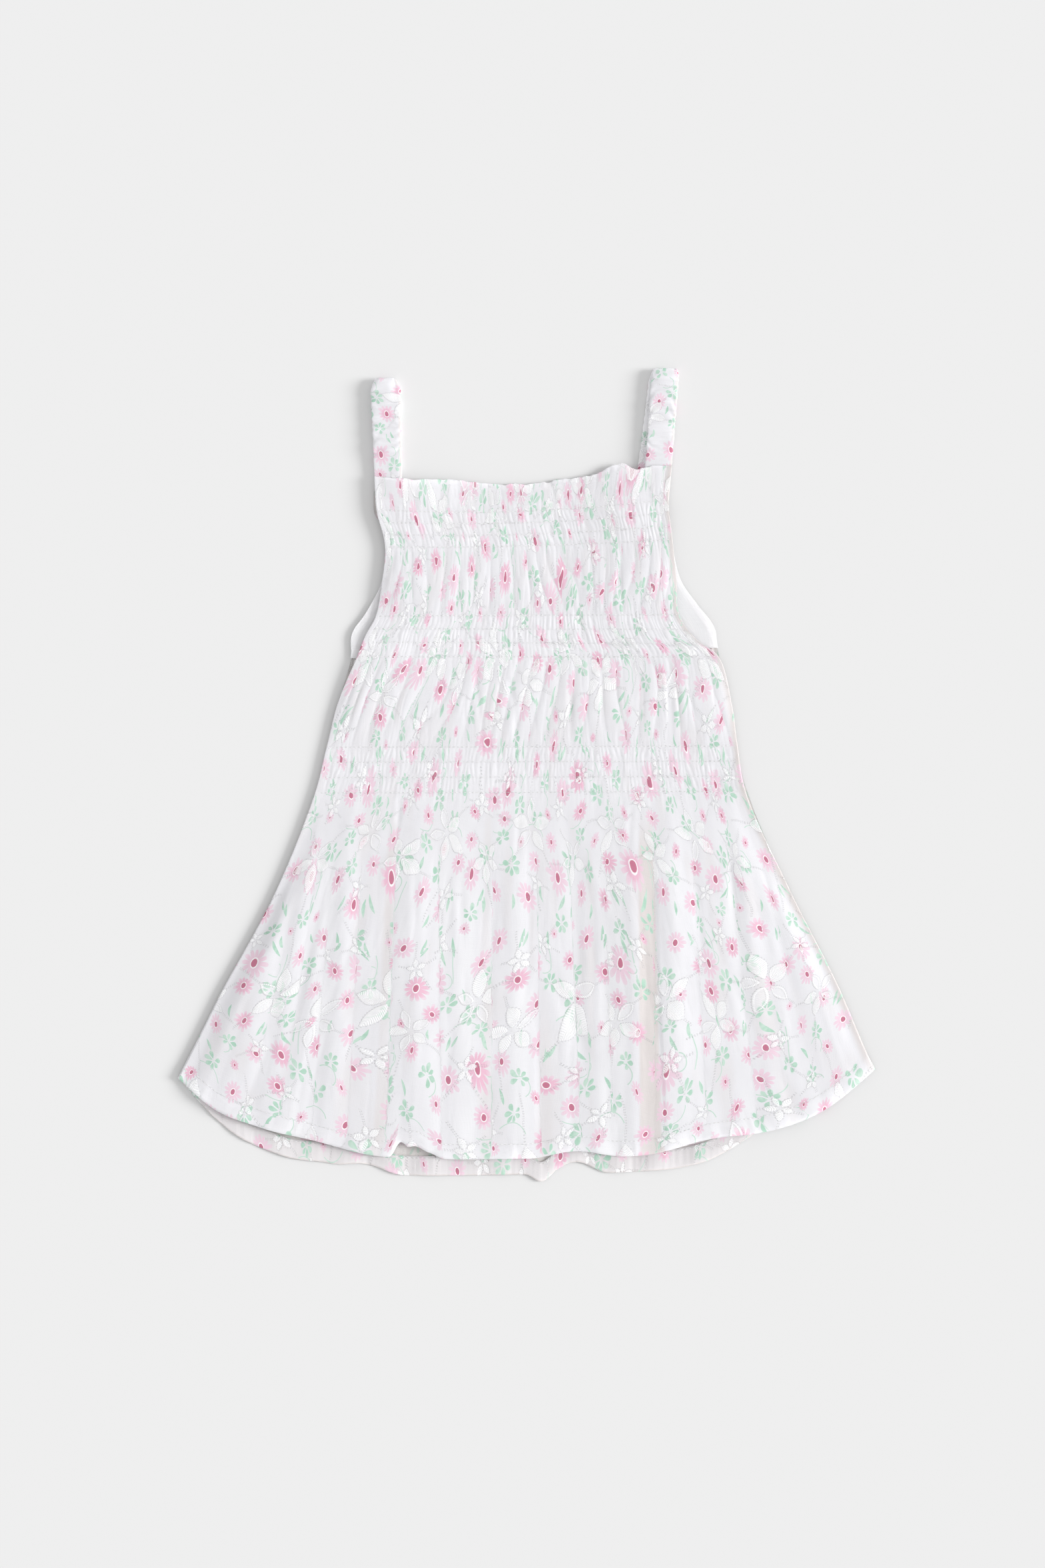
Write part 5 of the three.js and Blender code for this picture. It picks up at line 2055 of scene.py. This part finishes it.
@dataclass
class Stitching:
    """Runs of sewing thread, each stitch a short rounded bar that dips at its ends."""

    name: str
    length: float = 1.9
    gap: float = 0.7
    radius: float = 0.17
    thin_end: float = 0.45
    dip: float = 0.3
    start: float = 0.4
    sides: int = 5
    bars: list = field(default_factory=list)

    def run(self, line: Array, lift: float = 0.1) -> None:
        """Sew along a line of close points.

        Args:
            line: The points, n by 3.
            lift: How far the middle of each stitch is above the line.
        """
        steps = np.concatenate([[0], np.cumsum(np.linalg.norm(np.diff(line, axis=0), axis=1))])
        for start in np.arange(self.start, steps[-1] - self.length, self.length + self.gap):
            at = start + self.length * np.array([0, 0.5, 1])
            spine = np.stack([np.interp(at, steps, line[:, k]) for k in range(3)], -1)
            spine[:, 2] += lift * np.array([-self.dip, 1, -self.dip])
            self.bars.append(spine)

    def build(self, material: bpy.types.Material) -> bpy.types.Object:
        """Make one mesh of all the stitches.

        Args:
            material: The thread's material.

        Returns:
            The object.
        """
        spines = np.array(self.bars)
        way = spines[:, 2] - spines[:, 0]
        way /= np.linalg.norm(way, axis=1, keepdims=True)
        side = np.cross(way, [0, 0, 1.0])
        side /= np.linalg.norm(side, axis=1, keepdims=True)
        up = np.cross(side, way)
        angle = np.arange(self.sides) * 2 * np.pi / self.sides
        thick = self.radius * np.array([self.thin_end, 1.0, self.thin_end])
        spokes = np.cos(angle)[:, None, None] * side + np.sin(angle)[:, None, None] * up
        rings = spines[:, :, None] + thick[None, :, None, None] * spokes.transpose(1, 0, 2)[:, None]
        corners = rings.reshape(len(spines), -1, 3)
        first, second, third = np.arange(3 * self.sides).reshape(3, -1).tolist()
        faces = []
        for near, far in ((first, second), (second, third)):
            for i in range(self.sides):
                j = (i + 1) % self.sides
                faces.append([near[i], near[j], far[j], far[i]])
        every = [[c + b * corners.shape[1] for c in face] for b in range(len(spines))
                 for face in faces + [first[::-1], third]]
        mesh = bpy.data.meshes.new(self.name)
        mesh.from_pydata((corners.reshape(-1, 3) * MM).tolist(), [], every)
        mesh.polygons.foreach_set("use_smooth", np.ones(len(mesh.polygons), bool))
        mesh.materials.append(material)
        return put(mesh)


@dataclass
class Sewing:
    """All the sewing that shows: elastic rows, hems and facing edges."""

    front: FrontPanel
    back: BackPanel
    points: int = 900
    front_end: float = 0.012
    back_end: float = 0.01
    from_hem_edge: float = 1.2
    over_hem: float = 0.44

    def front_rows(self) -> Stitching:
        """Sew the elastic rows and the hem of the front.

        Returns:
            The stitches.
        """
        sewn = Stitching("front_stitches")
        cloth = np.linspace(self.front_end, 1 - self.front_end, self.points)
        rows = []
        for _, _, top, low, _ in self.front.band_spans(0.0):
            rows.extend(np.linspace(top, low, STITCHED_ROWS))
        rows.append(float(self.front.panel.down(np.array(FRONT_LINES.index("hem stitching")))))
        fine, run = self.front.panel.fine, self.front.panel.run
        for v in rows:
            t = np.full_like(cloth, np.interp(v, run, fine))
            sewn.run(self.front.surface(cloth, t))
        return sewn

    def back_hem(self) -> Stitching:
        """Sew the turned hem of the back, along the top of its turning.

        Returns:
            The stitches.
        """
        sewn = Stitching("back_stitches")
        cloth = np.linspace(self.back_end, 1 - self.back_end, self.points)
        line = self.back.surface(cloth, np.full_like(cloth, float(self.back.panel.last)))
        line[:, 1] += BACK_HEM_TURN - self.from_hem_edge
        line[:, 2] += self.over_hem
        sewn.run(line)
        return sewn

    def facing_edge(self, facing: ArmholeFacing, mesh: ClothMesh) -> Stitching:
        """Sew one facing down along its inner edge.

        Args:
            facing: The facing.
            mesh: Its mesh.

        Returns:
            The stitches.
        """
        sewn = Stitching(f"facing_{facing.side}_stitches", length=1.6, gap=0.8, radius=0.14)
        column = -5 if facing.side == "left" else 4
        sewn.run(mesh.points[:, column][::-1], 0.08)
        return sewn


# The picture


@dataclass
class Studio:
    """The pale floor, the soft light from the right and the camera straight above."""

    middle: Span = (-2.2, -5.0)
    picture_height: float = 940.8
    lens: float = 100.0
    film: float = 36.0
    floor_size: float = 6000.0
    floor_colour: Colour = (0.80, 0.80, 0.80, 1)
    floor_roughness: float = 0.9
    floor_specular: float = 0.1
    sky: float = 0.72
    key_strength: float = 2.95
    key_spread: float = 22.0
    key_way: tuple[float, float, float] = (1.0, 0.03, 0.41)

    def build(self) -> None:
        """Set up the whole studio."""
        self._floor()
        self._key()
        self._sky()
        self._camera()
        bpy.context.scene.view_settings.view_transform = "Standard"

    def _floor(self) -> None:
        """Lay a plain pale floor just under the dress."""
        half = self.floor_size / 2 * MM
        mesh = bpy.data.meshes.new("floor")
        mesh.from_pydata([(-half, -half, 0), (half, -half, 0), (half, half, 0), (-half, half, 0)],
                         [], [(0, 1, 2, 3)])
        material = bpy.data.materials.new("floor")
        material.use_nodes = True
        finish = material.node_tree.nodes["Principled BSDF"]
        finish.inputs["Base Color"].default_value = self.floor_colour
        finish.inputs["Roughness"].default_value = self.floor_roughness
        finish.inputs["Specular IOR Level"].default_value = self.floor_specular
        mesh.materials.append(material)
        put(mesh)

    def _key(self) -> None:
        """Light the dress from far off to the right, as a big soft window would."""
        lamp = bpy.data.lights.new("key", "SUN")
        lamp.energy = self.key_strength
        lamp.angle = math.radians(self.key_spread)
        put(lamp).rotation_euler = (-Vector(self.key_way)).to_track_quat("-Z", "Y").to_euler()

    def _sky(self) -> None:
        """Light the room evenly from all around."""
        world = bpy.data.worlds.new("room")
        world.use_nodes = True
        world.node_tree.nodes["Background"].inputs["Color"].default_value = (1, 1, 1, 1)
        world.node_tree.nodes["Background"].inputs["Strength"].default_value = self.sky
        bpy.context.scene.world = world

    def _camera(self) -> None:
        """Look straight down on the photograph's field."""
        camera = bpy.data.cameras.new("camera")
        camera.lens = self.lens
        camera.sensor_width = self.film
        away = self.picture_height * MM * self.lens / self.film
        holder = put(camera)
        holder.location = (self.middle[0] * MM, self.middle[1] * MM, away)
        bpy.context.scene.camera = holder


# Putting it together


def add_piece(made: bpy.types.Object, nodes: Sequence[str] = ()) -> None:
    """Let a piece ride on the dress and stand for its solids.

    Args:
        made: The piece.
        nodes: The solids that it stands for, if any.
    """
    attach(made, "root")
    if nodes:
        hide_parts(*nodes)
    LOG.info("%s: %d faces", made.name, len(made.data.polygons))


# Cloth turned under at the two ends of each panel, and where the print starts on the back
FRONT_TURNED = 24
BACK_TURNED = 8
BACK_PRINT = (19, -26)


def main() -> None:
    """Build the dress and the studio, and work out the panels' cut areas."""
    logging.basicConfig(level=logging.INFO, format="%(message)s")
    effects = Effects(PrintedCloth(Dyes()), Weave())
    outer = Voile("Voile right side", True).material(effects)
    inner = Voile("Voile wrong side", False).material(effects)
    lawn = PlainCloth("Cotton lawn", (0.82, 0.82, 0.84, 1)).material(effects)
    thread = PlainCloth("Sewing thread", (0.90, 0.895, 0.90, 1), roughness=0.6).material(effects)

    front = FrontPanel()
    mesh = front.build()
    LOG.info("front area %.0f mm2", mesh.area())
    front_cloth = mesh.build(outer, Print())
    add_piece(front_cloth, ["front_panel"])

    back = BackPanel()
    mesh = back.build()
    LOG.info("back area %.0f mm2", mesh.area())
    back_cloth = mesh.build(inner, Print(BACK_PRINT))
    add_piece(back_cloth, ["back_panel"])

    sewing = Sewing(front, back)
    add_piece(sewing.front_rows().build(thread))
    add_piece(sewing.back_hem().build(thread))

    for side in ("left", "right"):
        facing = ArmholeFacing(side, back.panel)
        mesh = facing.build()
        made = mesh.build(lawn, None)
        add_piece(made, [f"armhole_facing_{side}"])
        add_piece(sewing.facing_edge(facing, mesh).build(thread))

    for row in STRAPS.rows:
        strap = ShoulderStrap(*row)
        mesh = strap.build()
        LOG.info("strap area %.0f mm2", mesh.area())
        made = mesh.build(outer, Print(strap.print_at))
        add_piece(made, [f"strap_{strap.side}"])

    back.panel.cut_area(BACK_TURNED)
    front.panel.cut_area(FRONT_TURNED)
    Studio().build()


if __name__ == "__main__":
    main()
